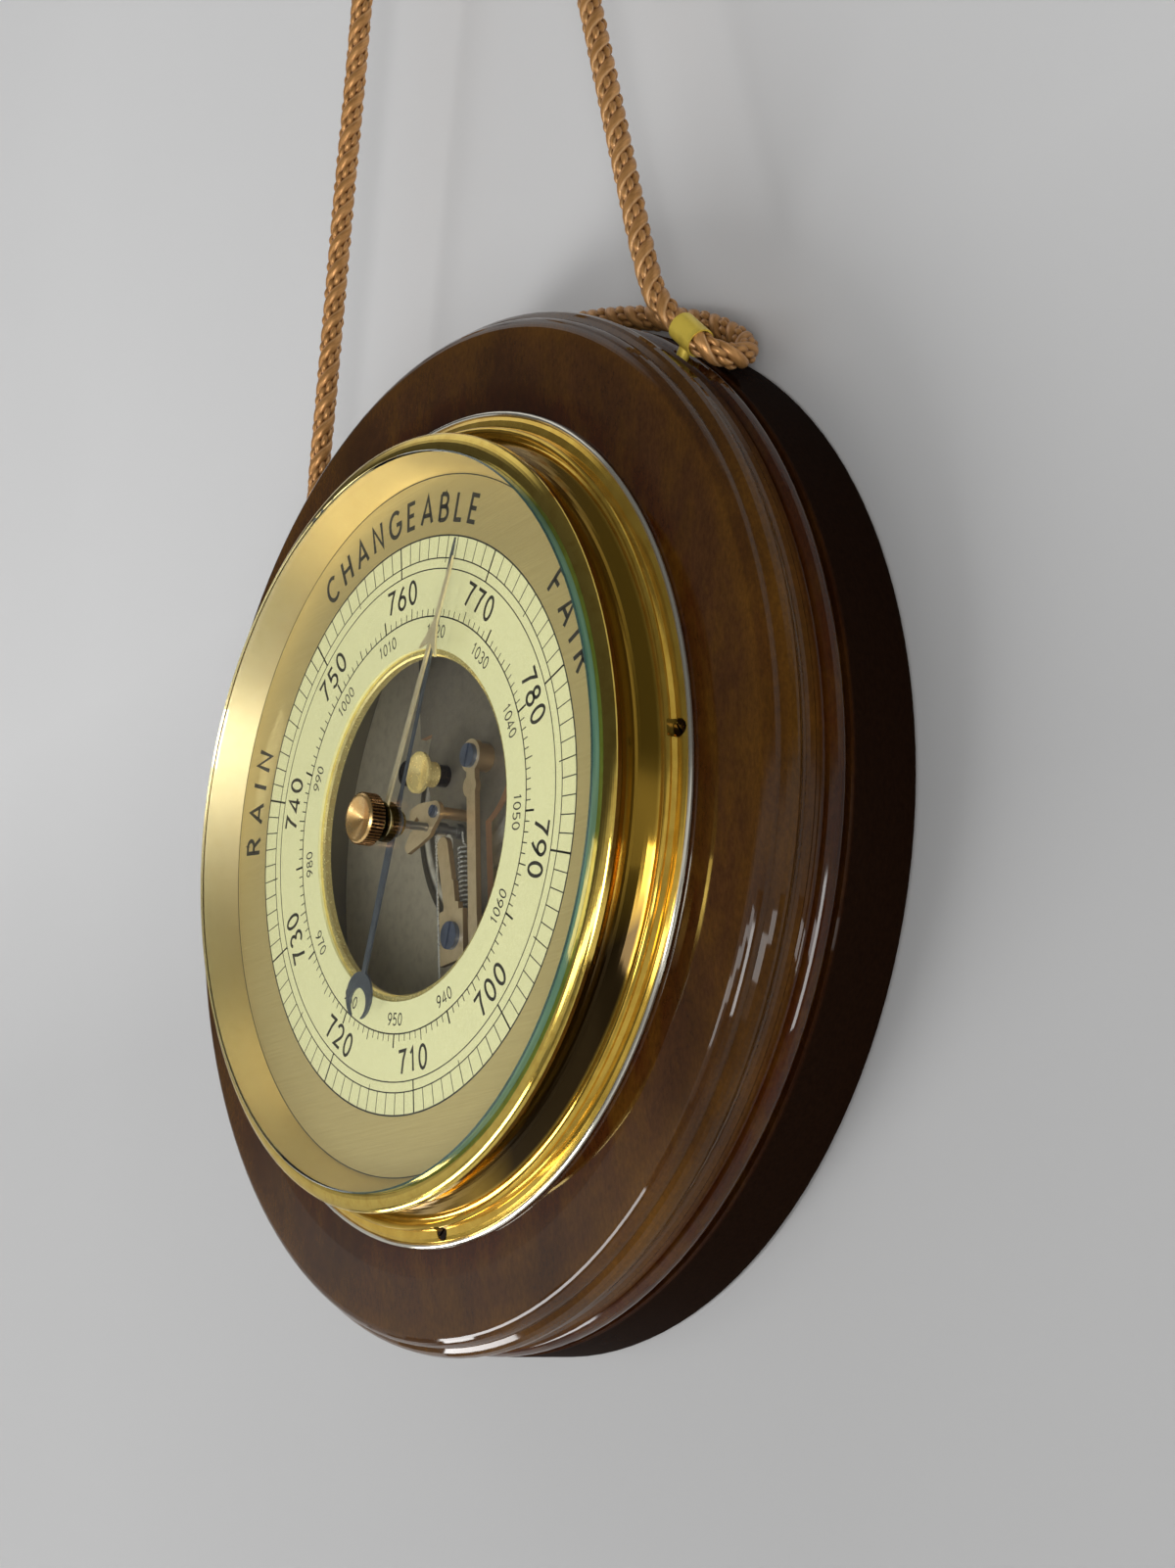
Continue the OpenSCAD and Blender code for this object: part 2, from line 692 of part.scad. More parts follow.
module upper_plate() {
    color([0.45, 0.4, 0.32]) face() difference() {
        plate(upper_h, upper_t) union() {
            translate(disc_at) circle(r = disc_r, $fn = 96);
            translate(bridge_at) square(bridge_size);
            translate(neck_at) square(neck_size);
            translate(upper_posts[2]) circle(r = neck_end_r, $fn = 48);
        }
        for (p = upper_posts) rod(p, upper_h - 1, upper_top + 1, post_screw_r + fit);
        rod([0, 0], upper_h - 1, upper_top + 1, pivot_r + fit);
    }
}

module post_screws() {
    color([0.35, 0.38, 0.45]) face() for (p = upper_posts) {
        rod(p, upper_h, upper_top, post_screw_r);
        slotted_head(p, upper_top, upper_top + 0.8, 2 * post_screw_r, 0.4, 60);
    }
}

module adjusting_nut() {
    top = claw_h - 1;
    color([0.86, 0.72, 0.36]) face() difference() {
        union() {
            rod(nut_at, upper_top + 2.4, top - nut_rim_t, 2.3);
            rod(nut_at, top - nut_rim_t, top, nut_r);
        }
        translate([nut_at[0], nut_at[1], top - 0.7])
            cylinder(r1 = 0.2, r2 = nut_r - 0.5, h = 0.7 + eps, $fn = 64);
        rod(nut_at, upper_top, top - 1.2, 1.1);
    }
}

module adjusting_screw() {
    color([0.35, 0.33, 0.3]) face() {
        rod(nut_at, upper_top, upper_top + 2.4, 2);
        rod(nut_at, upper_top + 2.4, claw_h - 2.4, 1.05);
    }
}

module claw_post() {
    color([0.7, 0.6, 0.36]) face() rod(claw_post, upper_top, claw_h, claw_post_r);
}

module claw_bridge() {
    color([0.78, 0.68, 0.42]) face() plate(claw_h, claw_t) difference() {
        union() {
            translate(claw_post) circle(r = 1.9, $fn = 48);
            circle(r = 1.9, $fn = 48);
            polygon([
                [2.6, 4.1], [-2.2, 4.7], [-5, 4.1], [-5.4, 2.6], [-3.8, 1.9], [-2.9, 2.5],
                [-1.8, 1.2], [-3.2, 0.6], [-5.2, 0.2], [-7.2, -2.2], [-6.2, -3.4],
                [-2.4, -2.6], [0.6, -1.8], [3.6, 0.6]]);
        }
        circle(r = arbor_r + fit, $fn = 40);
        translate(claw_post) circle(r = 0.65, $fn = 32);
    }
}

module claw_screw() {
    color([0.35, 0.38, 0.45]) face() {
        rod(claw_post, claw_h, claw_h + claw_t, 0.6);
        slotted_head(claw_post, claw_h + claw_t, claw_h + claw_t + 0.5, 1.1, 0.3, 40);
    }
}

module long_arm() {
    color([0.74, 0.64, 0.42]) face() difference() {
        plate(arms_h, arms_t) union() {
            translate(long_top) circle(r = long_ring_r, $fn = 48);
            translate(long_top - [0.5, 5.3]) circle(r = long_bulge_r, $fn = 48);
            bar(long_top, long_knee, long_w);
            bar(long_knee, long_foot, long_low_w);
            translate(long_foot) circle(r = long_foot_r, $fn = 48);
        }
        for (p = [long_top, long_foot]) rod(p, arms_h - 1, arms_top + 1, arm_screw_r + fit);
    }
}

// outline of the short arm and its square foot, round the screw
function short_arm_outline() = let (x = foot_at[0], z = foot_at[1]) concat(
    arc([x - 2.3, -2.6], 1.7, 10, 190, 12),
    [[x - 2.3, z + 5.4], [x - 2.5, z + 4.8], [x - 4.4, z + 4.6], [x - 4, z - 4.8],
     [x + 3.4, z - 4.4], [x + 3.6, z + 4.2], [x + 2.3, z + 4.3], [x + 2.2, z + 5.6],
     [x + 1.3, z + 5.8], [x + 0.9, z + 9.6], [x + 0.5, z + 9.8]]);

module short_arm() {
    color([0.74, 0.64, 0.42]) face() difference() {
        plate(arms_h, arms_t) polygon(short_arm_outline());
        rod(foot_at, arms_h - 1, arms_top + 1, arm_screw_r + fit);
    }
}

module arm_spacers() {
    color([0.66, 0.55, 0.32]) face() {
        rod(long_top, upper_top, arms_h, 2.5);
        rod(foot_at + [-0.4, 0], upper_top, arms_h, 1.7);
        rod(long_foot, base_top, arms_h, 2);
    }
}

module blued_screws() {
    color([0.25, 0.28, 0.4]) face() {
        for (p = [long_top, foot_at, long_foot]) {
            rod(p, arms_h, arms_top, arm_screw_r);
            slotted_head(p, arms_top, arms_top + 0.8, blued_r - (p == foot_at ? 0 : 0.35), 0.55, 68);
        }
    }
}

module pull_wire() {
    reach = shaft_drop - long_arm_r - fit;
    color([0.7, 0.68, 0.6]) face() translate([wire_x, -reach, wind_h]) rotate([-90, 0, 0])
        cylinder(r = wire_r, h = reach, $fn = 24);
}

// centre line of the return spring, from its upper tail to its lower tail
function spring_path() =
    let (c = spring_r - spring_wire / 2, low = spring_top - spring_turns * spring_pitch)
    concat(
        [[spring_x, spring_top + 2.6, spring_h], [spring_x, spring_top + 1.3, spring_h],
         [spring_x, spring_top + 0.5, spring_h - 0.2]],
        [for (k = [1:spring_turns * 8 - 1]) let (a = 360 * k / 8)
            [spring_x + c * sin(a), spring_top - spring_pitch * k / 8, spring_h - c * cos(a)]],
        [[spring_x, low - 0.5, spring_h - 0.2], [spring_x, low - 1.3, spring_h],
         [spring_x, foot_at[1] + 1.45, spring_h]]);

module return_spring() {
    color([0.72, 0.72, 0.7]) face() tube(spring_path(), spring_wire / 2, 6, [1, 0, 0]);
}

// Arbor and hands
module arbor() {
    color([0.6, 0.58, 0.52]) face() {
        rod([0, 0], upper_h, upper_top + 0.2, pivot_r);
        rod([0, 0], upper_top + 0.15, collet_h, arbor_r);
        rod([0, 0], wind_h - 1, wind_h + 1, wind_r);
        rod([0, 0], spring_h - spring_drum_t / 2, spring_h + spring_drum_t / 2, spring_drum_r);
    }
}

// outline of the pressure hand: hub, crescent tail, then the long rod
function hand_outline() = let (c = -30.6) concat(
    arc([0, 0], 2.6, 75, -70, 14),
    arc([0.3, c], 4.2, 81.8, -58, 18),
    arc([0.5, c - 1.35], 2.75, -48, 236, 30),
    arc([0.3, c], 4.2, 251, 98.2, 18),
    arc([0, 0], 2.6, 250, 105, 14),
    [[-0.32, 5.5], [-0.22, hand_len - 3], [0, hand_len], [0.22, hand_len - 3], [0.32, 5.5]]);

module pressure_hand() {
    color([0.3, 0.33, 0.38]) face() at_clock(hand_angle) difference() {
        plate(hand_h, hand_t) polygon(hand_outline());
        rod([0, 0], hand_h - 1, hand_h + hand_t + 1, arbor_r + 0.35);
    }
}

module hand_collet() {
    color([0.7, 0.56, 0.25]) face() {
        rod([0, 0], collet_h, hand_h, collet_r);
        rod([0, 0], hand_h, hand_h + hand_t, arbor_r + 0.3);
        rod([0, 0], hand_h + hand_t, collet_top, 1.3);
    }
}

// outline of the set hand: hub, thin rod, barbed head and long tip
function marker_outline() = concat(
    arc([0, 0], 2.8, 79, -259, 36),
    [[-0.4, 31.6], [-2.8, 29.9], [-1.6, 32.4], [-0.55, 35.3], [-0.42, marker_len - 3],
     [0, marker_len], [0.42, marker_len - 3], [0.55, 35.3], [1.6, 32.4], [2.8, 29.9],
     [0.4, 31.6]]);

module set_hand() {
    color([0.85, 0.7, 0.35]) face() at_clock(marker_angle) difference() {
        plate(marker_h, marker_t) polygon(marker_outline());
        rod([0, 0], marker_h - 1, marker_h + marker_t + 1, spindle_r + fit);
    }
}

module knurled(r, ribs, depth) {
    polygon([for (k = [0:ribs * 4 - 1]) let (a = 90 * k / ribs, m = k % 4)
        (m == 0 || m == 1 ? r : r - depth) * [cos(a), sin(a)]]);
}

module marker_nut() {
    color([0.5, 0.4, 0.2]) face() difference() {
        plate(marker_h - collar_t, collar_t) knurled(collar_r, 30, 0.2);
        rod([0, 0], marker_h - collar_t + 0.5, marker_h + 1, spindle_r + fit);
    }
}

module glass_bush() {
    color([0.5, 0.4, 0.2]) face() difference() {
        union() {
            rod([0, 0], glass_h - bush_flange, glass_top + bush_front, glass_hole_r - fit);
            rod([0, 0], glass_h - bush_flange, glass_h, 3.4);
            rod([0, 0], glass_top, glass_top + bush_front, 3.8);
        }
        rod([0, 0], glass_h - 2, glass_top + 2, spindle_r + fit);
    }
}

module knob() {
    color([0.82, 0.6, 0.35]) face() difference() {
        union() {
            plate(knob_h, knob_len - 0.4) knurled(knob_r, knob_ribs, 0.22);
            translate([0, 0, knob_h + knob_len - 0.4])
                cylinder(r1 = knob_r - 0.22, r2 = knob_r - 0.5, h = 0.4, $fn = 64);
            rod([0, 0], marker_h - collar_t + 0.6, knob_h + eps, spindle_r);
        }
        translate([0, 0, knob_h + knob_len - 1.3])
            cylinder(r1 = 0.1, r2 = knob_r - 0.8, h = 1.3 + eps, $fn = 64);
    }
}

// Rope, its sleeves and the hook
module eye_place(side) {
    mirror([side < 0 ? 1 : 0, 0, 0]) rotate([0, 0, -eye_angle])
        translate([0, wood_r + eye_out, eye_h]) children();
}

module eye_shank(slack, deeper) {
    reach = eye_out + shank_in;
    translate([0, -rope_d / 2 - sleeve_wall / 2 - fit, 0]) rotate([90, 0, 0])
        cylinder(r = shank_r + slack, h = reach - rope_d / 2 + deeper, $fn = 32);
}

module rope_eyes() {
    color([0.75, 0.68, 0.25]) face() for (s = [-1, 1]) eye_place(s) {
        rotate([0, 0, -sleeve_yaw]) rotate([0, sleeve_tilt, 0]) rotate([0, 90, 0]) difference() {
            cylinder(r = rope_d / 2 + fit + sleeve_wall, h = sleeve_len, center = true, $fn = 48);
            cylinder(r = rope_d / 2 + fit, h = sleeve_len + 1, center = true, $fn = 48);
        }
        eye_shank(0, 0);
    }
}

// the whole route: out of the left sleeve, over the hook, through the right
// sleeve, round and back over the wood's top to the left sleeve
function rope_path() = concat(
    [for (p = backwards(rope_up)) flip(p)],
    [for (i = [1:len(rope_up) - 1]) rope_up[i]],
    rope_low,
    [for (i = [len(rope_low) - 1:-1:1]) flip(rope_low[i])]);

module hanging_rope() {
    color([0.62, 0.44, 0.28]) tube(rope_path(), rope_d / 2, rope_sides, [0, 1, 0]);
}

module wall_hook() {
    hole_z = hook_z - 18;
    sink = 1.4;
    color([0.72, 0.58, 0.28]) face() difference() {
        union() {
            plate(0, hook_t) bar([0, hole_z - 2], [0, hook_z - 2], hook_w);
            rod([0, hook_z], hook_t - 1, hook_reach, hook_r);
            translate([0, hook_z, hook_reach]) {
                sphere(r = hook_r, $fn = 48);
                rotate([-90, 0, 0]) cylinder(r = hook_r, h = hook_tip, $fn = 48);
            }
            translate([0, hook_z + hook_tip, hook_reach]) sphere(r = hook_r, $fn = 48);
        }
        rod([0, hole_z], -1, hook_t + 1, hook_hole_r);
        translate([0, hole_z, hook_t - sink])
            cylinder(r1 = hook_hole_r, r2 = hook_hole_r + 1.8, h = sink + eps, $fn = 48);
    }
}

// least gap of the spring and of the rope to themselves, measured on points
function least_gap(path, skip, d) =
    min([for (i = [0:len(path) - 1]) for (j = [i + skip:1:len(path) - 1]) norm(path[i] - path[j])]) - d;
echo(spring_gap = least_gap(spring_path(), 5, spring_wire));
echo(rope_gap = least_gap(rope_path(), 4, rope_d));

wood_plate();
case_shell();
flange_screws();
case_back();
bezel_ring();
glass();
reflector();
dial_plate();
dial_rim();
base_plate();
base_screws();
capsule_rear();
capsule_front();
capsule_stem();
setting_screw();
lever_bracket();
lever_pin();
main_lever();
link_rod();
shaft_bearings();
rocking_shaft();
upper_posts();
upper_plate();
post_screws();
adjusting_nut();
adjusting_screw();
claw_post();
claw_bridge();
claw_screw();
long_arm();
short_arm();
arm_spacers();
blued_screws();
pull_wire();
return_spring();
arbor();
pressure_hand();
hand_collet();
set_hand();
marker_nut();
glass_bush();
knob();
rope_eyes();
hanging_rope();
wall_hook();
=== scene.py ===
import json
import math

import bpy
from mathutils import Matrix, Quaternion, Vector


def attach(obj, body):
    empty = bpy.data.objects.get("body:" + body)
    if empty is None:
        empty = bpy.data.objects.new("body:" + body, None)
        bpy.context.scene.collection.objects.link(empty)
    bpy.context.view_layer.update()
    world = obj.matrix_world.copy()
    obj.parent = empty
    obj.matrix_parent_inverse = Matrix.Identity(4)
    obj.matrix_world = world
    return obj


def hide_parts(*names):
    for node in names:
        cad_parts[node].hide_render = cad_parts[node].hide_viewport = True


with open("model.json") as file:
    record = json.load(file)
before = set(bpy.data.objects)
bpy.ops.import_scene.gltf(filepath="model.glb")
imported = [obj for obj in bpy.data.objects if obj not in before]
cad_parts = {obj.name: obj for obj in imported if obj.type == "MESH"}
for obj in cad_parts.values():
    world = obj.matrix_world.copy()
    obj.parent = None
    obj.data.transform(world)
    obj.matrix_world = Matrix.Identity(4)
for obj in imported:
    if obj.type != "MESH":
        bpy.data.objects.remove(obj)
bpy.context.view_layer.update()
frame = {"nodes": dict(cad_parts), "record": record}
nodes = frame["nodes"]

# The part's own places in millimetres: y is below 0 in front of the wall, z is up
MM = 0.001
DIAL_FACE = -33.6
INK_FACE = DIAL_FACE - 0.012
WOOD_R = 90
CASE_R = 71
PAPER_R = 49.8


def mm(*values):
    return Vector([v * MM for v in values])


# Camera, low on the right and looking up at the dial

AZIMUTH, ELEVATION, ROLL = 53.85, -11.89, -2.08
BESIDE, BELOW, BEFORE = 29.94, 18.47, 451
LENS, FILM = 60.42, 36
SHIFT = 152.3 / 1601


def place_camera():
    """Turned about the dial's middle, then moved back, down and aside along its own axes."""
    azimuth, elevation, roll = (math.radians(a) for a in (AZIMUTH, ELEVATION, ROLL))
    back = Vector((math.sin(azimuth) * math.cos(elevation),
                   -math.cos(azimuth) * math.cos(elevation), math.sin(elevation)))
    level = Vector((math.cos(azimuth), math.sin(azimuth), 0))
    upright = back.cross(level)
    right = level * math.cos(roll) + upright * math.sin(roll)
    up = upright * math.cos(roll) - level * math.sin(roll)
    data = bpy.data.cameras.new("camera")
    data.lens = LENS
    data.sensor_width = FILM
    data.shift_y = SHIFT
    data.clip_start = 0.01
    camera = bpy.data.objects.new("camera", data)
    bpy.context.scene.collection.objects.link(camera)
    camera.location = mm(0, DIAL_FACE, 0) + (right * BESIDE - up * BELOW + back * BEFORE) * MM
    turn = [[right[i], up[i], back[i]] for i in range(3)]
    camera.rotation_euler = Matrix(turn).to_euler()
    bpy.context.scene.camera = camera


place_camera()


# Meshes

def new_piece(name, points, faces, material, smooth=True, uvs=None):
    mesh = bpy.data.meshes.new(name)
    mesh.from_pydata(points, [], faces)
    mesh.update()
    if smooth:
        mesh.polygons.foreach_set("use_smooth", [True] * len(mesh.polygons))
    if uvs:
        layer = mesh.uv_layers.new(name="UVMap")
        for polygon in mesh.polygons:
            for loop in polygon.loop_indices:
                layer.data[loop].uv = uvs(polygon.index, mesh.loops[loop].vertex_index)
    piece = bpy.data.objects.new(name, mesh)
    bpy.context.scene.collection.objects.link(piece)
    mesh.materials.append(material)
    return piece


def smooth_line(points, step):
    """Points a step apart on a smooth curve through the given ones."""
    ends = [points[0] * 2 - points[1]] + points + [points[-1] * 2 - points[-2]]
    dense = []
    for a, b, c, d in zip(ends, ends[1:], ends[2:], ends[3:]):
        for k in range(24):
            t = k / 24
            dense.append(0.5 * (2 * b + (c - a) * t + (2 * a - 5 * b + 4 * c - d) * t * t
                                + (3 * b - a - 3 * c + d) * t ** 3))
    dense.append(points[-1])
    run, total = [0.0], 0.0
    for a, b in zip(dense, dense[1:]):
        total += (b - a).length
        run.append(total)
    count = round(total / step)
    line, j = [], 0
    for i in range(count + 1):
        want = total * i / count
        while j < len(run) - 2 and run[j + 1] < want:
            j += 1
        part = (want - run[j]) / max(run[j + 1] - run[j], 1e-9)
        line.append(dense[j].lerp(dense[j + 1], part))
    return line, total


def frames_along(line, first):
    """Tangent and two normals at each point, carried along without twist."""
    rows, normal = [], first
    for i in range(len(line)):
        tangent = (line[min(i + 1, len(line) - 1)] - line[max(i - 1, 0)]).normalized()
        normal = (normal - tangent * normal.dot(tangent)).normalized()
        rows.append((tangent, normal, tangent.cross(normal)))
    return rows


class Tubes:
    """Oval tubes in one mesh, with u along them, v around them and their reach from the rope's axis."""

    def __init__(self):
        self.points, self.faces, self.uv, self.reach = [], [], [], []

    def add(self, rows, sides, deep, wide):
        """rows: axis point, tube centre, outward and sideways direction, and u, ring by ring."""
        base, rings = len(self.points), len(rows)
        for axis, centre, out, side, u in rows:
            for k in range(sides):
                a = math.tau * k / sides
                point = centre + out * deep * math.cos(a) + side * wide * math.sin(a)
                self.points.append(point)
                self.uv.append((u, k / sides))
                self.reach.append((point - axis).length / MM)
        for i in range(rings - 1):
            for k in range(sides):
                a, b = base + i * sides + k, base + i * sides + (k + 1) % sides
                self.faces.append((a, b, b + sides, a + sides))
        self.faces.append([base + k for k in reversed(range(sides))])
        self.faces.append([base + (rings - 1) * sides + k for k in range(sides)])

    def piece(self, name, material):
        def uv(face, vertex):
            u, v = self.uv[vertex]
            around = [self.uv[p][1] for p in self.faces[face]]
            return (u, v + 1) if v == 0 and max(around) > 0.6 and len(around) == 4 else (u, v)
        piece = new_piece(name, self.points, self.faces, material, uvs=uv)
        layer = piece.data.attributes.new("reach", "FLOAT", "POINT")
        layer.data.foreach_set("value", self.reach)
        return piece


# Rope: its route in the part's own points, right half, in millimetres

RING_STEP = 0.33
CORE = 1.25
LAY = 10.8
STRAND_AT = 1.16
STRAND_DEEP, STRAND_WIDE = 0.97, 1.12
PLY_LAY = 3.2
PLY_AT = 0.33
PLY = 0.72
ROPE_UP = [
    (0, -20.6, 306.95), (2.3, -20.6, 306.4), (4.1, -20.6, 304.9), (5.1, -20.6, 302.8),
    (7.4, -20.6, 292.5), (10.7, -20.6, 277.5), (14.1, -20.5, 262.5), (17.4, -20.5, 247.5),
    (20.7, -20.4, 232.5), (24.1, -20.4, 217.5), (27.4, -20.3, 202.5), (30.8, -20.3, 187.5),
    (34.1, -20.2, 172.5), (37.4, -20.1, 157.5), (40.8, -20.1, 142.5), (44.1, -20, 127.5),
    (47.4, -19.9, 112.5), (50.4, -19.8, 99), (53.3, -19.7, 86.5), (55.6, -19.2, 78.4),
    (59.8, -17.73, 72.1)]
ROPE_LOW = [
    (61.7, -17.31, 69.88), (63.6, -16.89, 67.66), (64.9, -14.3, 66.1), (65.3, -11.1, 66.2),
    (64.2, -8.2, 68), (61.7, -6.3, 70.9), (57.6, -5.6, 74.4), (51.1, -5.9, 78.8),
    (42.5, -7.4, 82.7), (33, -8.4, 86.4), (20, -8.8, 90.4), (7, -9, 92.4)]


def rope_route():
    """The closed loop from the left sleeve over the hook, through the right sleeve and back."""
    up, low = [mm(*p) for p in ROPE_UP], [mm(*p) for p in ROPE_LOW]
    def flip(p):
        return Vector((-p.x, p.y, p.z))
    return [flip(p) for p in reversed(up)] + up[1:] + low + [flip(p) for p in reversed(low[1:])]


def rope_strands(material):
    """Four strands laid round a core, every second one spun from two plies."""
    route = rope_route()
    line, length = smooth_line(route, RING_STEP * MM)
    rows = frames_along(line, Vector((0, 1, 0)))
    step = length / (len(line) - 1)
    tubes = Tubes()
    tubes.add([(axis, axis, n, b, 0.0) for axis, (_, n, b) in zip(line[::3], rows[::3])], 8,
              CORE * MM, CORE * MM)
    for strand in range(4):
        rings = []
        for i, (axis, (tangent, n, b)) in enumerate(zip(line, rows)):
            turn = math.tau * (i * step / (LAY * MM) + strand / 4)
            out = n * math.cos(turn) + b * math.sin(turn)
            slant = (tangent * LAY + tangent.cross(out) * math.tau * STRAND_AT).normalized()
            rings.append((axis, axis + out * STRAND_AT * MM, out, out.cross(slant), i * step * 1.2 / MM))
        if strand % 2 == 0:
            tubes.add(rings[::2], 14, STRAND_DEEP * MM, STRAND_WIDE * MM)
            continue
        for ply in range(2):
            spun = []
            for axis, centre, out, side, u in rings:
                spin = math.tau * (u / PLY_LAY + ply / 2)
                off = out * math.cos(spin) + side * math.sin(spin)
                spun.append((axis, centre + off * PLY_AT * MM, out, side, u))
            tubes.add(spun, 8, PLY * MM, PLY * MM)
    rope = tubes.piece("twisted_rope", material)
    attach(rope, "case")
    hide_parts("hanging_rope")


# Finishes

def put_node(tree, kind, inputs=None, **settings):
    """A node with its settings, each input either linked to a socket or set to a value."""
    node = tree.nodes.new(kind)
    for key, value in settings.items():
        setattr(node, key, value)
    for key, value in (inputs or {}).items():
        if isinstance(value, bpy.types.NodeSocket):
            tree.links.new(value, node.inputs[key])
        else:
            node.inputs[key].default_value = value
    return node


def put_ramp(tree, value, stops):
    """Colours between stops, where a plain number is a grey."""
    node = put_node(tree, "ShaderNodeValToRGB", {"Fac": value})
    elements = node.color_ramp.elements
    while len(elements) < len(stops):
        elements.new(0.5)
    for element, (at, colour) in zip(elements, stops):
        element.position = at
        element.color = (*colour, 1) if isinstance(colour, tuple) else (colour, colour, colour, 1)
    return node.outputs["Color"]


class Finish:
    """A node material that is built up step by step."""

    def __init__(self, name, **shader):
        self.material = bpy.data.materials.new(name)
        self.material.use_nodes = True
        self.tree = self.material.node_tree
        self.shader = self.tree.nodes["Principled BSDF"]
        self.output = self.tree.nodes["Material Output"]
        for key, value in shader.items():
            self.shader.inputs[key.replace("_", " ")].default_value = value

    def add(self, kind, inputs=None, **settings):
        return put_node(self.tree, "ShaderNode" + kind, inputs, **settings)

    def set(self, socket, value):
        self.tree.links.new(value, self.shader.inputs[socket])

    def place(self, scale=(1, 1, 1)):
        """Object coordinates in millimetres, times a scale along each axis."""
        where = self.add("TexCoord").outputs["Object"]
        return self.add("VectorMath", {0: where, 1: [1000 * s for s in scale]},
                        operation="MULTIPLY").outputs[0]

    def uv(self, scale):
        where = self.add("UVMap", uv_map="UVMap").outputs[0]
        return self.add("VectorMath", {0: where, 1: scale}, operation="MULTIPLY").outputs[0]

    def radius(self):
        flat = self.place((1, 0, 1))
        return self.add("VectorMath", {0: flat}, operation="LENGTH").outputs["Value"]

    def height(self):
        """Height off the wall, in millimetres."""
        return self.math("MULTIPLY", self.add("SeparateXYZ", {0: self.place()}).outputs["Y"], -1)

    def math(self, operation, a, b=0.0):
        return self.add("Math", {0: a, 1: b}, operation=operation).outputs[0]

    def noise(self, where, scale=1, detail=3, rough=0.5):
        return self.add("TexNoise", {"Vector": where, "Scale": scale, "Detail": detail,
                                     "Roughness": rough}).outputs["Fac"]

    def ramp(self, value, stops):
        return put_ramp(self.tree, value, stops)

    def grey(self, value, low, high, at=(0.3, 0.7)):
        return self.ramp(value, [(at[0], low), (at[1], high)])

    def mix(self, share, a, b, blend="MIX"):
        node = self.add("Mix", data_type="RGBA", blend_type=blend)
        for socket, value in ((node.inputs[0], share), (node.inputs[6], a), (node.inputs[7], b)):
            if isinstance(value, bpy.types.NodeSocket):
                self.tree.links.new(value, socket)
            else:
                socket.default_value = (*value, 1) if isinstance(value, tuple) else value
        return node.outputs[2]

    def bump(self, height, strength, distance=0.05):
        node = self.add("Bump", {"Height": height, "Strength": strength, "Distance": distance * MM})
        self.set("Normal", node.outputs[0])

    def between(self, value, low, high):
        """0 below low and 1 above high, even in between."""
        return self.add("MapRange", {0: value, 1: low, 2: high, 3: 0.0, 4: 1.0}).outputs[0]


# Heights off the wall where the wood's finish changes, from none of it to all of it
BARE_BACK = (0.25, 0.1)
ABOVE_BASE = (12.5, 14)
ON_FACE = (27.9, 28.2)


def lacquered_wood():
    """Dark stain with redder and browner turnings, glossy but for its base band and bare back."""
    f = Finish("lacquered_wood", Roughness=0.45, Coat_Roughness=0.04,
               Coat_IOR=1.42, Specular_IOR_Level=0.0)
    height, radius = f.height(), f.radius()
    stain = f.ramp(f.between(height, 0, 29), [
        (0.0, (0.011, 0.0045, 0.002)), (0.42, (0.011, 0.0045, 0.002)), (0.46, (0.030, 0.008, 0.002)),
        (0.60, (0.060, 0.014, 0.002)), (0.68, (0.095, 0.036, 0.004)), (0.83, (0.105, 0.043, 0.004)),
        (0.93, (0.080, 0.030, 0.004)), (0.985, (0.055, 0.021, 0.005))])
    face = f.ramp(f.between(radius, CASE_R, WOOD_R), [
        (0.0, (0.035, 0.008, 0.002)), (0.20, (0.050, 0.014, 0.003)), (0.36, (0.058, 0.022, 0.006)),
        (0.66, (0.064, 0.025, 0.006)), (0.80, (0.085, 0.034, 0.005)), (1.0, (0.100, 0.041, 0.004))])
    colour = f.mix(f.between(height, *ON_FACE), stain, face)
    polished = f.between(height, *ABOVE_BASE)
    flame = f.noise(f.place((0.16, 0.30, 0.07)), 1, 5, 0.62)
    flame = f.math("MULTIPLY", f.grey(flame, 0, 0.5, (0.44, 0.66)), polished)
    colour = f.mix(flame, colour, (0.105, 0.045, 0.004))
    cloud = f.noise(f.place((0.05, 0.07, 0.035)), 1, 4)
    cloud = f.math("MULTIPLY", f.grey(cloud, 0.0, 0.6, (0.38, 0.66)), polished)
    colour = f.mix(cloud, colour, (0.024, 0.008, 0.002))
    fibre = f.noise(f.place((1.6, 1.6, 0.8)), 1, 4, 0.7)
    colour = f.mix(0.6, colour, f.grey(fibre, 0.55, 1.45), "MULTIPLY")
    pores = f.noise(f.place((2.6, 2.6, 0.5)), 1, 3, 0.6)
    bare = f.mix(f.grey(pores, 0, 1, (0.4, 0.62)), (0.20, 0.115, 0.060), (0.13, 0.070, 0.034))
    f.set("Base Color", f.mix(f.between(height, *BARE_BACK), colour, bare))
    f.set("Coat Weight", f.math("ADD", f.math("MULTIPLY", polished, 0.95), 0.05))
    f.bump(f.noise(f.place((0.09, 0.09, 0.05)), 1, 2), 0.06, 0.2)
    return f.material


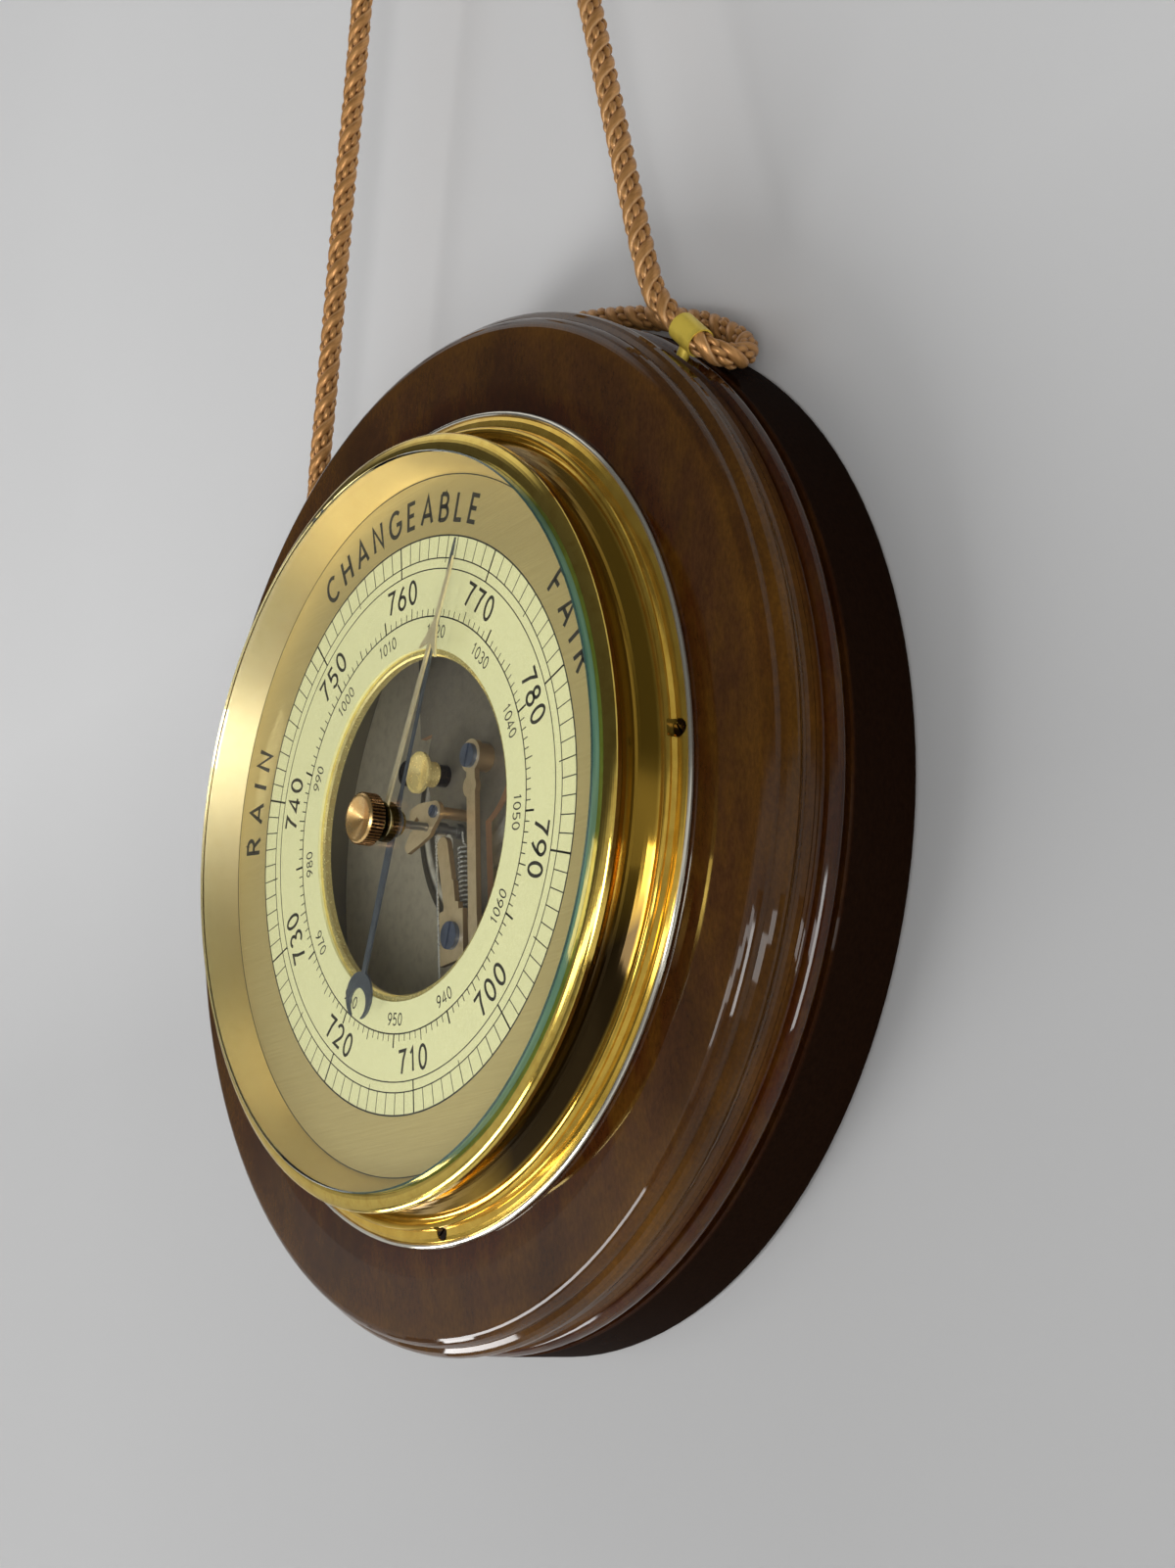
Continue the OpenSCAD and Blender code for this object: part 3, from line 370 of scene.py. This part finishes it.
def metal(name, colour, rough, spread=0.06, dull=None, edge=None, turned=0.0, straight=0.0,
          metallic=1.0):
    """Metal with clouded tarnish, turned or straight brushing, and if asked another tone on its edges."""
    f = Finish(name, Metallic=metallic)
    cloud = f.noise(f.place((0.5, 0.5, 0.5)), 1, 4, 0.6)
    dull = dull or tuple(c * 0.72 for c in colour)
    tone = f.mix(f.grey(cloud, 0, 0.75, (0.45, 0.75)), colour, dull)
    if edge:
        facing = f.add("SeparateXYZ", {0: f.add("NewGeometry").outputs["Normal"]}).outputs["Y"]
        tone = f.mix(f.between(f.math("ABSOLUTE", facing), 0.45, 0.3), tone, edge)
    f.set("Base Color", tone)
    speck = f.noise(f.place((3, 3, 3)), 1, 3)
    f.set("Roughness", f.grey(speck, max(rough - spread, 0.02), rough + spread))
    if turned:
        ring = f.add("CombineXYZ", {"X": f.radius(), "Y": f.height()}).outputs[0]
        f.bump(f.noise(ring, 9, 3, 0.7), turned, 0.02)
    elif straight:
        f.bump(f.noise(f.place((0.12, 1, 9)), 1, 3, 0.7), straight, 0.02)
    else:
        f.bump(f.noise(f.place((1.5, 1.5, 1.5)), 1, 3), 0.05, 0.05)
    return f.material


def dial_finish():
    """Cream paint within the outer scale and brass brushed level outside it."""
    f = Finish("dial_paint_and_brass", Anisotropic=0.75)
    facing = f.add("NewGeometry").outputs["Normal"]
    f.set("Tangent", f.add("VectorMath", {0: facing, 1: (0, 0, 1)},
                           operation="CROSS_PRODUCT").outputs[0])
    brass = f.math("GREATER_THAN", f.radius(), PAPER_R)
    grain = f.noise(f.place((0.08, 1, 7)), 1, 4, 0.75)
    gold = f.mix(f.grey(grain, 0, 1, (0.35, 0.68)), (0.97, 0.81, 0.38), (0.86, 0.69, 0.30))
    paper = f.noise(f.place((2.2, 1, 2.2)), 1, 3)
    cream = f.mix(f.grey(paper, 0, 1), (0.83, 0.81, 0.45), (0.78, 0.76, 0.405))
    f.set("Base Color", f.mix(brass, cream, gold))
    f.set("Metallic", f.math("MULTIPLY", brass, 0.75))
    f.set("Roughness", f.math("ADD", f.math("MULTIPLY", brass, -0.2), 0.60))
    f.bump(f.math("MULTIPLY", grain, brass), 0.35, 0.02)
    return f.material


def clear_glass():
    """Clear on its faces and green on its outer edge; it lets light through to the dial."""
    f = Finish("clear_glass", Transmission_Weight=1.0, Roughness=0.0, IOR=1.5,
               Base_Color=(0.97, 0.99, 0.98, 1))
    edge = f.add("BsdfPrincipled", {"Roughness": 0.12, "Coat Weight": 1.0})
    streak = f.noise(f.place((0.05, 1.2, 0.05)), 1, 2)
    green = f.mix(f.grey(streak, 0, 1), (0.09, 0.23, 0.18), (0.19, 0.38, 0.31))
    f.tree.links.new(green, edge.inputs["Base Color"])
    geometry = f.add("NewGeometry").outputs
    slope = f.math("ABSOLUTE", f.add("SeparateXYZ", {0: geometry["Normal"]}).outputs["Y"])
    outside = f.math("SUBTRACT", 1.0, geometry["Backfacing"])
    on_rim = f.math("MULTIPLY", f.math("MULTIPLY", f.between(slope, 0.8, 0.6), outside),
                    f.between(f.radius(), 30, 31))
    rim = f.add("MixShader", {0: on_rim, 1: f.shader.outputs[0], 2: edge.outputs[0]})
    shade = f.add("LightPath").outputs["Is Shadow Ray"]
    open_way = f.add("BsdfTransparent")
    whole = f.add("MixShader", {0: shade, 1: rim.outputs[0], 2: open_way.outputs[0]})
    f.tree.links.new(whole.outputs[0], f.output.inputs[0])
    return f.material


def rope_fibre():
    """Satin threads along the strands, with painted shade where the strands meet and a painted highlight
    stripe along each one.
    """
    f = Finish("satin_cord", Roughness=0.36, Metallic=0.45, Specular_IOR_Level=0.4)
    fibre = f.noise(f.uv((0.5, 12, 1)), 1, 3, 0.6)
    cloud = f.noise(f.place((0.3, 0.3, 0.3)), 1, 3)
    colour = f.mix(f.grey(fibre, 0, 1), (0.40, 0.190, 0.060), (0.66, 0.350, 0.130))
    colour = f.mix(f.grey(cloud, 0, 0.5), colour, (0.33, 0.150, 0.036))
    around = f.add("SeparateXYZ", {0: f.add("UVMap", uv_map="UVMap").outputs[0]}).outputs["Y"]
    # A pale stripe at one place round each tube, along its length: a painted highlight.
    edge = f.ramp(around, [(0.10, 0), (0.155, 1), (0.20, 0)])
    colour = f.mix(f.math("MULTIPLY", edge, 0.55), colour, (0.95, 0.62, 0.32))
    reach = f.add("Attribute", attribute_name="reach").outputs["Fac"]
    # Darker nearer the rope's axis and lighter on the outer crests: painted shade and painted highlight.
    shade_and_sheen_by_reach = f.ramp(f.between(reach, 1.2, 2.2), [
        (0.1, (0.03, 0.015, 0.006)), (0.40, (0.20, 0.15, 0.10)), (0.60, (0.80, 0.77, 0.74)),
        (0.85, 1.15)])
    f.set("Base Color", f.mix(1.0, colour, shade_and_sheen_by_reach, "MULTIPLY"))
    f.bump(fibre, 0.6, 0.1)
    return f.material


def case_finish():
    """Old lacquered brass: darker in the cove and darkest low on the right, both painted shade,
    silvery along the rolled rim, and dull inside."""
    f = Finish("case_brass", Metallic=0.85)
    radius, height = f.radius(), f.height()
    cloud = f.noise(f.place((0.35, 0.35, 0.35)), 1, 4, 0.6)
    brass = f.mix(f.grey(cloud, 0, 0.8), (0.86, 0.58, 0.10), (0.66, 0.40, 0.05))
    # The cove's darker brass is a painted shade in the recess.
    cove = f.math("MULTIPLY", f.between(height, 30.9, 31.6), f.between(radius, 67.6, 67.0))
    brass = f.mix(cove, brass, (0.32, 0.19, 0.02))
    # Darker still low on the right of the cove: a painted shade.
    x, _, z = f.add("SeparateXYZ", {0: f.place((0.68, 1, 0.73))}).outputs
    low_right_shade = f.between(f.math("SUBTRACT", x, z), 57, 62)
    brass = f.mix(f.math("MULTIPLY", cove, low_right_shade), brass, (0.035, 0.020, 0.004))
    rolled_rim = f.between(radius, 71.1, 71.4)
    brass = f.mix(rolled_rim, brass, (0.80, 0.77, 0.66))
    inside = f.math("MULTIPLY", f.between(radius, 63.9, 63.7), f.between(height, 33.5, 33.4))
    f.set("Base Color", f.mix(inside, brass, (0.20, 0.175, 0.12)))
    f.set("Roughness", f.math("ADD", f.math("MULTIPLY", inside, 0.45), 0.10))
    ring = f.add("CombineXYZ", {"X": radius, "Y": height}).outputs[0]
    f.bump(f.noise(ring, 9, 3, 0.7), 0.06, 0.02)
    return f.material


def capsule_finish():
    """Corrugated sheet, with a painted highlight on its crests and painted shade in its valleys."""
    f = Finish("capsule_metal", Metallic=0.35)
    # Bright above the crests' height and dark below it: painted highlight and painted shade.
    lit_crest = f.between(f.height(), 14.45, 14.75)
    cloud = f.noise(f.place((0.6, 0.6, 0.6)), 1, 3)
    bright = f.mix(f.grey(cloud, 0, 1), (0.86, 0.82, 0.70), (0.66, 0.62, 0.52))
    f.set("Base Color", f.mix(lit_crest, (0.11, 0.095, 0.07), bright))
    f.set("Roughness", f.grey(cloud, 0.3, 0.42))
    return f.material


def knob_finish():
    """Gold on its face and in its cup, darker brown on the ribbed side, with painted shade near black between
    the ribs.
    """
    f = Finish("knob_brass", Metallic=0.9)
    radius, height = f.radius(), f.height()
    # Near black in the valleys between the ribs: a painted shade.
    side = f.ramp(f.between(radius, 4.28, 4.5), [
        (0.15, (0.012, 0.006, 0.003)), (0.9, (0.34, 0.17, 0.06))])
    front = f.between(height, 44.15, 44.3)
    cup = f.between(radius, 3.75, 3.6)
    cloud = f.noise(f.place((0.8, 0.8, 0.8)), 1, 3)
    gold = f.mix(f.grey(cloud, 0, 1), (0.95, 0.64, 0.27), (0.78, 0.47, 0.17))
    f.set("Base Color", f.mix(f.math("MAXIMUM", front, cup), side, gold))
    f.set("Roughness", f.grey(cloud, 0.24, 0.32))
    ring = f.add("CombineXYZ", {"X": radius}).outputs[0]
    f.bump(f.noise(ring, 7, 3, 0.7), 0.3, 0.02)
    return f.material


def stage_paint(name):
    """A paint of slightly uneven gloss and grey."""
    f = Finish(name)
    cloud = f.noise(f.place((0.02, 0.02, 0.02)), 1, 4)
    f.set("Base Color", f.grey(cloud, 0.776, 0.824))
    f.set("Roughness", f.grey(cloud, 0.57, 0.63))
    return f


def wall_paint():
    """Pale grey, with painted light and shade: lighter towards the top and to the left, darker low down."""
    f = stage_paint("wall_paint")
    x, _, z = f.add("SeparateXYZ", {0: f.place()}).outputs
    # Darker low down and lighter up high and to the left: painted light and shade on the wall.
    up = f.ramp(f.between(z, -140, 260), [(0.0, 0.46), (0.32, 0.51), (0.55, 0.67), (1.0, 0.70)])
    left = f.ramp(f.between(x, 60, -200), [(0.0, 0.97), (1.0, 1.15)])
    f.set("Base Color", f.mix(1.0, up, left, "MULTIPLY"))
    return f


# Finishes by the record's material slots, and then those that some nodes have of their own
finishes = {
    "wood": lacquered_wood(),
    "brass": metal("polished_brass", (0.83, 0.60, 0.13), 0.09, 0.03, (0.66, 0.42, 0.07), turned=0.05),
    "brushed_brass": metal("brushed_brass", (0.80, 0.66, 0.36), 0.36, 0.03, (0.76, 0.61, 0.32), turned=0.25),
    "movement_brass": metal("movement_brass", (0.78, 0.62, 0.38), 0.36, 0.08, (0.62, 0.47, 0.27),
                            edge=(0.40, 0.27, 0.14), straight=0.2, metallic=0.75),
    "dark_brass": metal("bronzed_brass", (0.15, 0.12, 0.035), 0.2, 0.06, (0.05, 0.045, 0.015)),
    "knob_brass": knob_finish(),
    "eye_brass": metal("sleeve_brass", (0.92, 0.69, 0.10), 0.36, 0.05, metallic=0.3),
    "capsule_metal": capsule_finish(),
    "steel": metal("steel", (0.60, 0.59, 0.54), 0.3, 0.08, metallic=0.7),
    "hand_steel": metal("hand_steel", (0.115, 0.13, 0.15), 0.36, 0.05, straight=0.2, metallic=0.6),
    "dark_steel": metal("dark_steel", (0.035, 0.022, 0.016), 0.3, 0.05),
    "blued_steel": metal("blued_steel", (0.16, 0.19, 0.27), 0.35, 0.06, straight=0.2, metallic=0.8),
    "dial_paint": dial_finish(),
    "glass": clear_glass(),
    "rope": rope_fibre(),
}
for row in frame["record"]["subparts"]:
    mesh = nodes[row["node"]].data
    mesh.materials.clear()
    mesh.materials.append(finishes[row["material_slot"]])
own_finishes = (
    (metal("inside_brass", (0.78, 0.71, 0.54), 0.5, 0.08, (0.58, 0.51, 0.38), straight=0.3,
           metallic=0.3), ("case_back", "base_plate")),
    # The upper plate's brass is painted far darker than the base plate's, a painted shade, and its copper
    # edge tone is a painted highlight.
    (metal("shaded_plate_brass", (0.165, 0.145, 0.11), 0.5, 0.08, (0.12, 0.105, 0.08), edge=(0.42, 0.24, 0.13),
           straight=0.3, metallic=0.4), ("upper_plate",)),
    (metal("nut_brass", (0.98, 0.78, 0.32), 0.24, 0.05, (0.86, 0.60, 0.20), metallic=0.6),
     ("adjusting_nut",)),
    (metal("pale_brass", (0.80, 0.70, 0.44), 0.34, 0.05, (0.66, 0.54, 0.30), metallic=0.6), ("set_hand",)),
    (metal("rim_brass", (1.0, 0.84, 0.34), 0.24, 0.05, (0.86, 0.64, 0.20), metallic=0.75), ("dial_rim",)),
    (metal("dark_arbor", (0.22, 0.21, 0.19), 0.35, 0.05, metallic=0.8), ("arbor",)),
    (case_finish(), ("case_shell",)))
for finish, names in own_finishes:
    for name in names:
        nodes[name].data.materials[0] = finish

rope_strands(finishes["rope"])


# Lettering in plain strokes, each glyph a width and its lines in a box one unit high

def oval(x, y, rx, ry, start, end, steps=20):
    return [(x + rx * math.cos(math.radians(start + (end - start) * i / steps)),
             y + ry * math.sin(math.radians(start + (end - start) * i / steps)))
            for i in range(steps + 1)]


SIX = [[(0.46, 0.96), (0.34, 0.86), (0.20, 0.68), (0.08, 0.46), (0.045, 0.30)],
       oval(0.30, 0.295, 0.255, 0.265, 180, 540, 28)]
GLYPHS = {
    "0": (0.6, [oval(0.3, 0.5, 0.25, 0.465, 0, 360, 32)]),
    "1": (0.46, [[(0.10, 0.76), (0.26, 0.96), (0.26, 0.03)]]),
    "2": (0.6, [oval(0.29, 0.70, 0.245, 0.265, 165, -25) + [(0.42, 0.44), (0.05, 0.045), (0.56, 0.045)]]),
    "3": (0.6, [oval(0.28, 0.735, 0.22, 0.225, 150, -90), oval(0.28, 0.275, 0.255, 0.24, 90, -150)]),
    "4": (0.62, [[(0.43, 0.03), (0.43, 0.95), (0.04, 0.27), (0.60, 0.27)]]),
    "5": (0.6, [[(0.53, 0.955), (0.13, 0.955), (0.10, 0.52)] + oval(0.27, 0.31, 0.26, 0.27, 128, -145)]),
    "6": (0.6, SIX),
    "7": (0.58, [[(0.03, 0.955), (0.54, 0.955), (0.36, 0.60), (0.21, 0.03)]]),
    "8": (0.6, [oval(0.3, 0.745, 0.20, 0.21, -90, 270, 28), oval(0.3, 0.28, 0.245, 0.245, 90, 450, 28)]),
    "9": (0.6, [[(0.6 - x, 1 - y) for x, y in part] for part in SIX]),
    "A": (0.72, [[(0.03, 0.02), (0.36, 0.96), (0.69, 0.02)], [(0.14, 0.31), (0.58, 0.31)]]),
    "B": (0.62, [[(0.07, 0.02), (0.07, 0.95)],
                 [(0.07, 0.95), (0.30, 0.95)] + oval(0.30, 0.735, 0.2, 0.215, 90, -90, 12) + [(0.07, 0.52)],
                 [(0.30, 0.52)] + oval(0.32, 0.285, 0.24, 0.235, 90, -90, 12) + [(0.07, 0.05)]]),
    "C": (0.74, [oval(0.42, 0.5, 0.36, 0.455, 48, 312, 26)]),
    "E": (0.54, [[(0.50, 0.95), (0.07, 0.95), (0.07, 0.05), (0.50, 0.05)], [(0.07, 0.51), (0.44, 0.51)]]),
    "F": (0.52, [[(0.50, 0.95), (0.07, 0.95), (0.07, 0.02)], [(0.07, 0.51), (0.44, 0.51)]]),
    "G": (0.78, [oval(0.42, 0.5, 0.36, 0.455, 48, 340, 28) + [(0.76, 0.47), (0.48, 0.47)]]),
    "H": (0.66, [[(0.07, 0.02), (0.07, 0.98)], [(0.59, 0.02), (0.59, 0.98)], [(0.07, 0.51), (0.59, 0.51)]]),
    "I": (0.16, [[(0.08, 0.02), (0.08, 0.98)]]),
    "L": (0.50, [[(0.07, 0.98), (0.07, 0.05), (0.48, 0.05)]]),
    "N": (0.68, [[(0.07, 0.02), (0.07, 0.95), (0.61, 0.05), (0.61, 0.98)]]),
    "R": (0.64, [[(0.07, 0.02), (0.07, 0.95), (0.32, 0.95)] + oval(0.32, 0.72, 0.22, 0.23, 90, -90, 12)
                 + [(0.07, 0.49)], [(0.30, 0.49), (0.58, 0.02)]]),
}


class Print:
    """Flat ink on the dial, drawn as ribbons in the dial's own plane, in millimetres."""

    def __init__(self):
        self.points, self.faces = [], []

    def ribbon(self, line, width):
        """A ribbon along 2D points, with its corners mitred."""
        closed = (Vector(line[0]) - Vector(line[-1])).length < 1e-6
        if closed:
            line = line[:-1]
        count, base = len(line), len(self.points)
        for i in range(count):
            here = Vector(line[i])
            before = Vector(line[i - 1]) if i or closed else None
            after = Vector(line[(i + 1) % count]) if i < count - 1 or closed else None
            a = (here - before).normalized() if before is not None else None
            b = (after - here).normalized() if after is not None else None
            a, b = a or b, b or a
            way = (a + b).normalized()
            stretch = min(1 / max(way.dot(a), 0.35), 2.2)
            side = Vector((-way.y, way.x)) * width / 2 * stretch
            for p in (here + side, here - side):
                self.points.append((p.x * MM, INK_FACE * MM, p.y * MM))
        for i in range(count if closed else count - 1):
            j = (i + 1) % count
            self.faces.append((base + 2 * i, base + 2 * i + 1, base + 2 * j + 1, base + 2 * j))

    def ring(self, radius, width):
        self.ribbon(oval(0, 0, radius, radius, 0, 360, 240), width)

    def text(self, words, angle, bottom, height, stroke, gap, flipped=False, bend=True):
        """Words centred on a clock angle, along an arc or in a straight line, upside down if flipped."""
        widths = [GLYPHS[c][0] * height for c in words]
        total = sum(widths) + gap * (len(words) - 1)
        x = -total / 2
        for letter, width in zip(words, widths):
            base = bottom + height if flipped else bottom
            for part in GLYPHS[letter][1]:
                line = []
                for px, py in part:
                    u, v = px * height, py * height
                    if bend:
                        mid = (x + width / 2) / bottom
                        u, turn = u - width / 2, mid
                    else:
                        u, turn = x + u, 0.0
                    if flipped:
                        u, v, turn = -u, -v, -turn
                    a = math.radians(angle) + turn
                    line.append((u * math.cos(a) + (base + v) * math.sin(a),
                                 -u * math.sin(a) + (base + v) * math.cos(a)))
                self.ribbon(line, stroke)
            x += width + gap


def marks_tree():
    """Geometry nodes: a row of bars round a dial, from one radius to another."""
    tree = bpy.data.node_groups.new("dial_marks", "GeometryNodeTree")
    face = tree.interface
    face.new_socket("Geometry", in_out="OUTPUT", socket_type="NodeSocketGeometry")
    for name, kind in (("Count", "Int"), ("First angle", "Float"), ("Step", "Float"),
                       ("Inner radius", "Float"), ("Outer radius", "Float"), ("Width", "Float"),
                       ("Height", "Float"), ("Ink", "Material")):
        face.new_socket(name, in_out="INPUT", socket_type="NodeSocket" + kind)

    def add(kind, inputs=None):
        return put_node(tree, kind, inputs).outputs

    def math_node(operation, a, b=0.0):
        return put_node(tree, "ShaderNodeMath", {0: a, 1: b}, operation=operation).outputs[0]

    given = tree.nodes.new("NodeGroupInput").outputs
    steps = math_node("MULTIPLY", add("GeometryNodeInputIndex")[0], given["Step"])
    turn = math_node("ADD", steps, given["First angle"])
    middle = math_node("MULTIPLY", math_node("ADD", given["Inner radius"], given["Outer radius"]), 0.5)
    length = math_node("SUBTRACT", given["Outer radius"], given["Inner radius"])
    spot = add("ShaderNodeCombineXYZ", {0: math_node("MULTIPLY", math_node("SINE", turn), middle),
                                        1: given["Height"],
                                        2: math_node("MULTIPLY", math_node("COSINE", turn), middle)})
    points = add("GeometryNodePoints", {"Count": given["Count"], "Position": spot[0]})
    bar = add("GeometryNodeMeshGrid", {"Size X": given["Width"], "Size Y": length, "Vertices X": 2,
                                       "Vertices Y": 2})
    stand = add("GeometryNodeTransform", {"Geometry": bar["Mesh"],
                                          "Rotation": (math.pi / 2, 0, 0)})
    way = add("ShaderNodeCombineXYZ", {0: 0.0, 1: turn, 2: 0.0})
    rows = add("GeometryNodeInstanceOnPoints", {"Points": points[0], "Instance": stand[0],
                                                "Rotation": way[0]})
    real = add("GeometryNodeRealizeInstances", {"Geometry": rows[0]})
    inked = add("GeometryNodeSetMaterial", {"Geometry": real[0], "Material": given["Ink"]})
    tree.links.new(inked[0], tree.nodes.new("NodeGroupOutput").inputs[0])
    return tree


def grown(name, tree, inputs):
    """The plain mesh that a tree makes with these inputs."""
    carrier = bpy.data.objects.new(name + "_maker", bpy.data.meshes.new(name + "_maker"))
    bpy.context.scene.collection.objects.link(carrier)
    modifier = carrier.modifiers.new("maker", "NODES")
    modifier.node_group = tree
    for item in tree.interface.items_tree:
        if item.in_out == "INPUT" and item.name in inputs:
            modifier[item.identifier] = inputs[item.name]
    carrier.update_tag()
    bpy.context.view_layer.update()
    made = carrier.evaluated_get(bpy.context.evaluated_depsgraph_get())
    mesh = bpy.data.meshes.new_from_object(made)
    carrier.modifiers.remove(modifier)
    bpy.data.objects.remove(carrier)
    piece = bpy.data.objects.new(name, mesh)
    bpy.context.scene.collection.objects.link(piece)
    return piece


# Both scales: the reading at the top, degrees for each unit, and where the units' ring runs
HG_TOP, HG_TURN, HG_R = 760, 3.6, 45.9
MB_TOP, MB_TURN, MB_R = 1013.25, 2.7, 35.9


def print_dial():
    """Ticks and rings of both scales, their numerals, and the words of the weather."""
    ink = Finish("dial_ink", Roughness=0.5)
    tone = ink.noise(ink.place((1, 1, 1)), 1, 3)
    ink.set("Base Color", ink.mix(tone, (0.018, 0.016, 0.010), (0.032, 0.028, 0.018)))
    tree = marks_tree()
    scales = [
        ("unit_marks", 100, 0, HG_TURN, HG_R, PAPER_R, 0.2),
        ("five_marks", 10, 5 * HG_TURN, 10 * HG_TURN, 45.1, PAPER_R, 0.2),
        ("ten_marks", 10, 0, 10 * HG_TURN, 44.1, PAPER_R, 0.36),
        ("small_unit_marks", 133, (934 - MB_TOP) * MB_TURN, MB_TURN, MB_R, 37.2, 0.2),
        ("small_five_marks", 26, (935 - MB_TOP) * MB_TURN, 5 * MB_TURN, MB_R, 37.9, 0.22),
        ("small_ten_marks", 13, (940 - MB_TOP) * MB_TURN, 10 * MB_TURN, MB_R, 38.3, 0.38)]
    for name, count, first, step, inner, outer, width in scales:
        marks = grown(name, tree, {
            "Count": count, "First angle": math.radians(first), "Step": math.radians(step),
            "Inner radius": inner * MM, "Outer radius": outer * MM, "Width": width * MM,
            "Height": INK_FACE * MM, "Ink": ink.material})
        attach(marks, "case")
    drawn = Print()
    for radius, width in ((60.3, 0.2), (PAPER_R, 0.3), (HG_R, 0.22), (44.1, 0.22), (MB_R, 0.26)):
        drawn.ring(radius, width)
    for value in range(700, 800, 10):
        angle = (value - HG_TOP) * HG_TURN % 360
        drawn.text(str(value), angle, bottom=38.55, height=4.2, stroke=0.6, gap=1.0,
                   flipped=abs(angle - 180) < 68, bend=False)
    for value in range(940, 1070, 10):
        angle = (value - MB_TOP) * MB_TURN % 360
        drawn.text(str(value), angle, bottom=32.3, height=2.15, stroke=0.26, gap=0.34,
                   flipped=abs(angle - 180) < 68, bend=False)
    for words, angle, gap in (("CHANGEABLE", -0.5, 1.85), ("RAIN", 287, 2.6), ("FAIR", 66, 2.6)):
        drawn.text(words, angle, bottom=52.2, height=5.0, stroke=0.78, gap=gap)
    piece = new_piece("dial_print", drawn.points, drawn.faces, ink.material, smooth=False)
    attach(piece, "case")


print_dial()


# Stage: a pale wall and floor, in metres, with the openings behind the part in millimetres

WALL = 0.0004
FLOOR = -1.1
PLATE_OPEN = 88.4
HOOK_MIDDLE = 290.7
HOOK_HALF = 9
HOOK_OPEN = 7


def covered(f):
    """Where the wooden plate and the hook lie on the wall, so that light reaches their backs."""
    plate = f.math("LESS_THAN", f.radius(), PLATE_OPEN)
    x, _, z = f.add("SeparateXYZ", {0: f.place()}).outputs
    along = f.math("ABSOLUTE", f.math("SUBTRACT", z, HOOK_MIDDLE))
    past_end = f.math("MAXIMUM", f.math("SUBTRACT", along, HOOK_HALF), 0.0)
    away = f.add("CombineXYZ", {"X": x, "Z": past_end}).outputs[0]
    hook = f.math("LESS_THAN", f.add("VectorMath", {0: away}, operation="LENGTH").outputs["Value"], HOOK_OPEN)
    return f.math("MAXIMUM", plate, hook)


def stage_plane(name, corners, finish):
    """A plane that is open from behind, and where the part covers it."""
    seen_behind = finish.add("NewGeometry").outputs["Backfacing"]
    clear = finish.add("BsdfTransparent")
    gone = finish.math("MAXIMUM", seen_behind, covered(finish))
    both = finish.add("MixShader", {0: gone, 1: finish.shader.outputs[0], 2: clear.outputs[0]})
    finish.tree.links.new(both.outputs[0], finish.output.inputs[0])
    plane = new_piece(name, corners, [(0, 1, 2, 3)], finish.material, smooth=False)


stage_plane("wall", [(-3, WALL, FLOOR), (3, WALL, FLOOR), (3, WALL, 3), (-3, WALL, 3)],
            wall_paint())
stage_plane("floor", [(-3, -3, FLOOR), (3, -3, FLOOR), (3, WALL, FLOOR), (-3, WALL, FLOOR)],
            stage_paint("floor_paint"))


# Soft light. The glass takes none from most lamps, whose mirror images would hide the dial

no_glare = bpy.data.collections.new("no_glare")
no_glare.objects.link(nodes["glass"])
no_glare.collection_objects[0].light_linking.link_state = "EXCLUDE"


def soft_box(name, azimuth, elevation, distance, wide, tall, power, turn=0, glare=False):
    """A lamp that faces the dial: azimuth 0 is straight in front and 90 to the right."""
    data = bpy.data.lights.new(name, "AREA")
    data.shape = "RECTANGLE"
    data.size, data.size_y = wide, tall
    data.energy = power
    lamp = bpy.data.objects.new(name, data)
    bpy.context.scene.collection.objects.link(lamp)
    az, el = math.radians(azimuth), math.radians(elevation)
    way = Vector((math.sin(az) * math.cos(el), -math.cos(az) * math.cos(el), math.sin(el)))
    lamp.location = way * distance
    lamp.rotation_mode = "QUATERNION"
    tilt = Quaternion((0, 0, 1), math.radians(turn))
    lamp.rotation_quaternion = way.to_track_quat("Z", "Y") @ tilt
    lamp.visible_camera = False
    if not glare:
        lamp.light_linking.receiver_collection = no_glare


soft_box("low_left_box", azimuth=-48, elevation=-31, distance=1.4, wide=1.2, tall=0.28, power=10.5)
soft_box("right_box", azimuth=50, elevation=-25, distance=1.2, wide=0.28, tall=0.6, power=5, glare=True)
soft_box("front_strip", azimuth=8, elevation=-13, distance=1.2, wide=2.3, tall=0.12, power=3.4, turn=-15)

GLOW_WAY = (-0.544, -0.289, 0.788)
GLOW = 0.7
ROOM = [(0.2, 0.3), (0.49, 0.5), (0.53, 0.42), (0.56, 0.16), (0.6, 0.06), (1.0, 0.10)]


def soft_room():
    """A dim room, lighter along the horizon and below it, with a glow at the upper left."""
    world = bpy.data.worlds.new("room")
    world.use_nodes = True
    tree = world.node_tree

    def add(kind, inputs=None, **settings):
        return put_node(tree, "ShaderNode" + kind, inputs, **settings).outputs

    way = add("TexCoord")["Generated"]
    spot = add("VectorMath", {0: way, 1: GLOW_WAY}, operation="DOT_PRODUCT")["Value"]
    glow = add("MapRange", {0: spot, 1: 0.92, 2: 0.985, 3: 0.0, 4: GLOW},
               interpolation_type="SMOOTHSTEP")[0]
    level = add("MapRange", {0: add("SeparateXYZ", {0: way})["Z"], 1: -1.0, 2: 1.0})[0]
    both = add("Math", {0: put_ramp(tree, level, ROOM), 1: glow}, operation="ADD")[0]
    background = tree.nodes["Background"]
    tree.links.new(both, background.inputs["Strength"])
    background.inputs["Color"].default_value = (1, 1, 1, 1)
    bpy.context.scene.world = world


soft_room()
bpy.context.scene.view_settings.view_transform = "Standard"
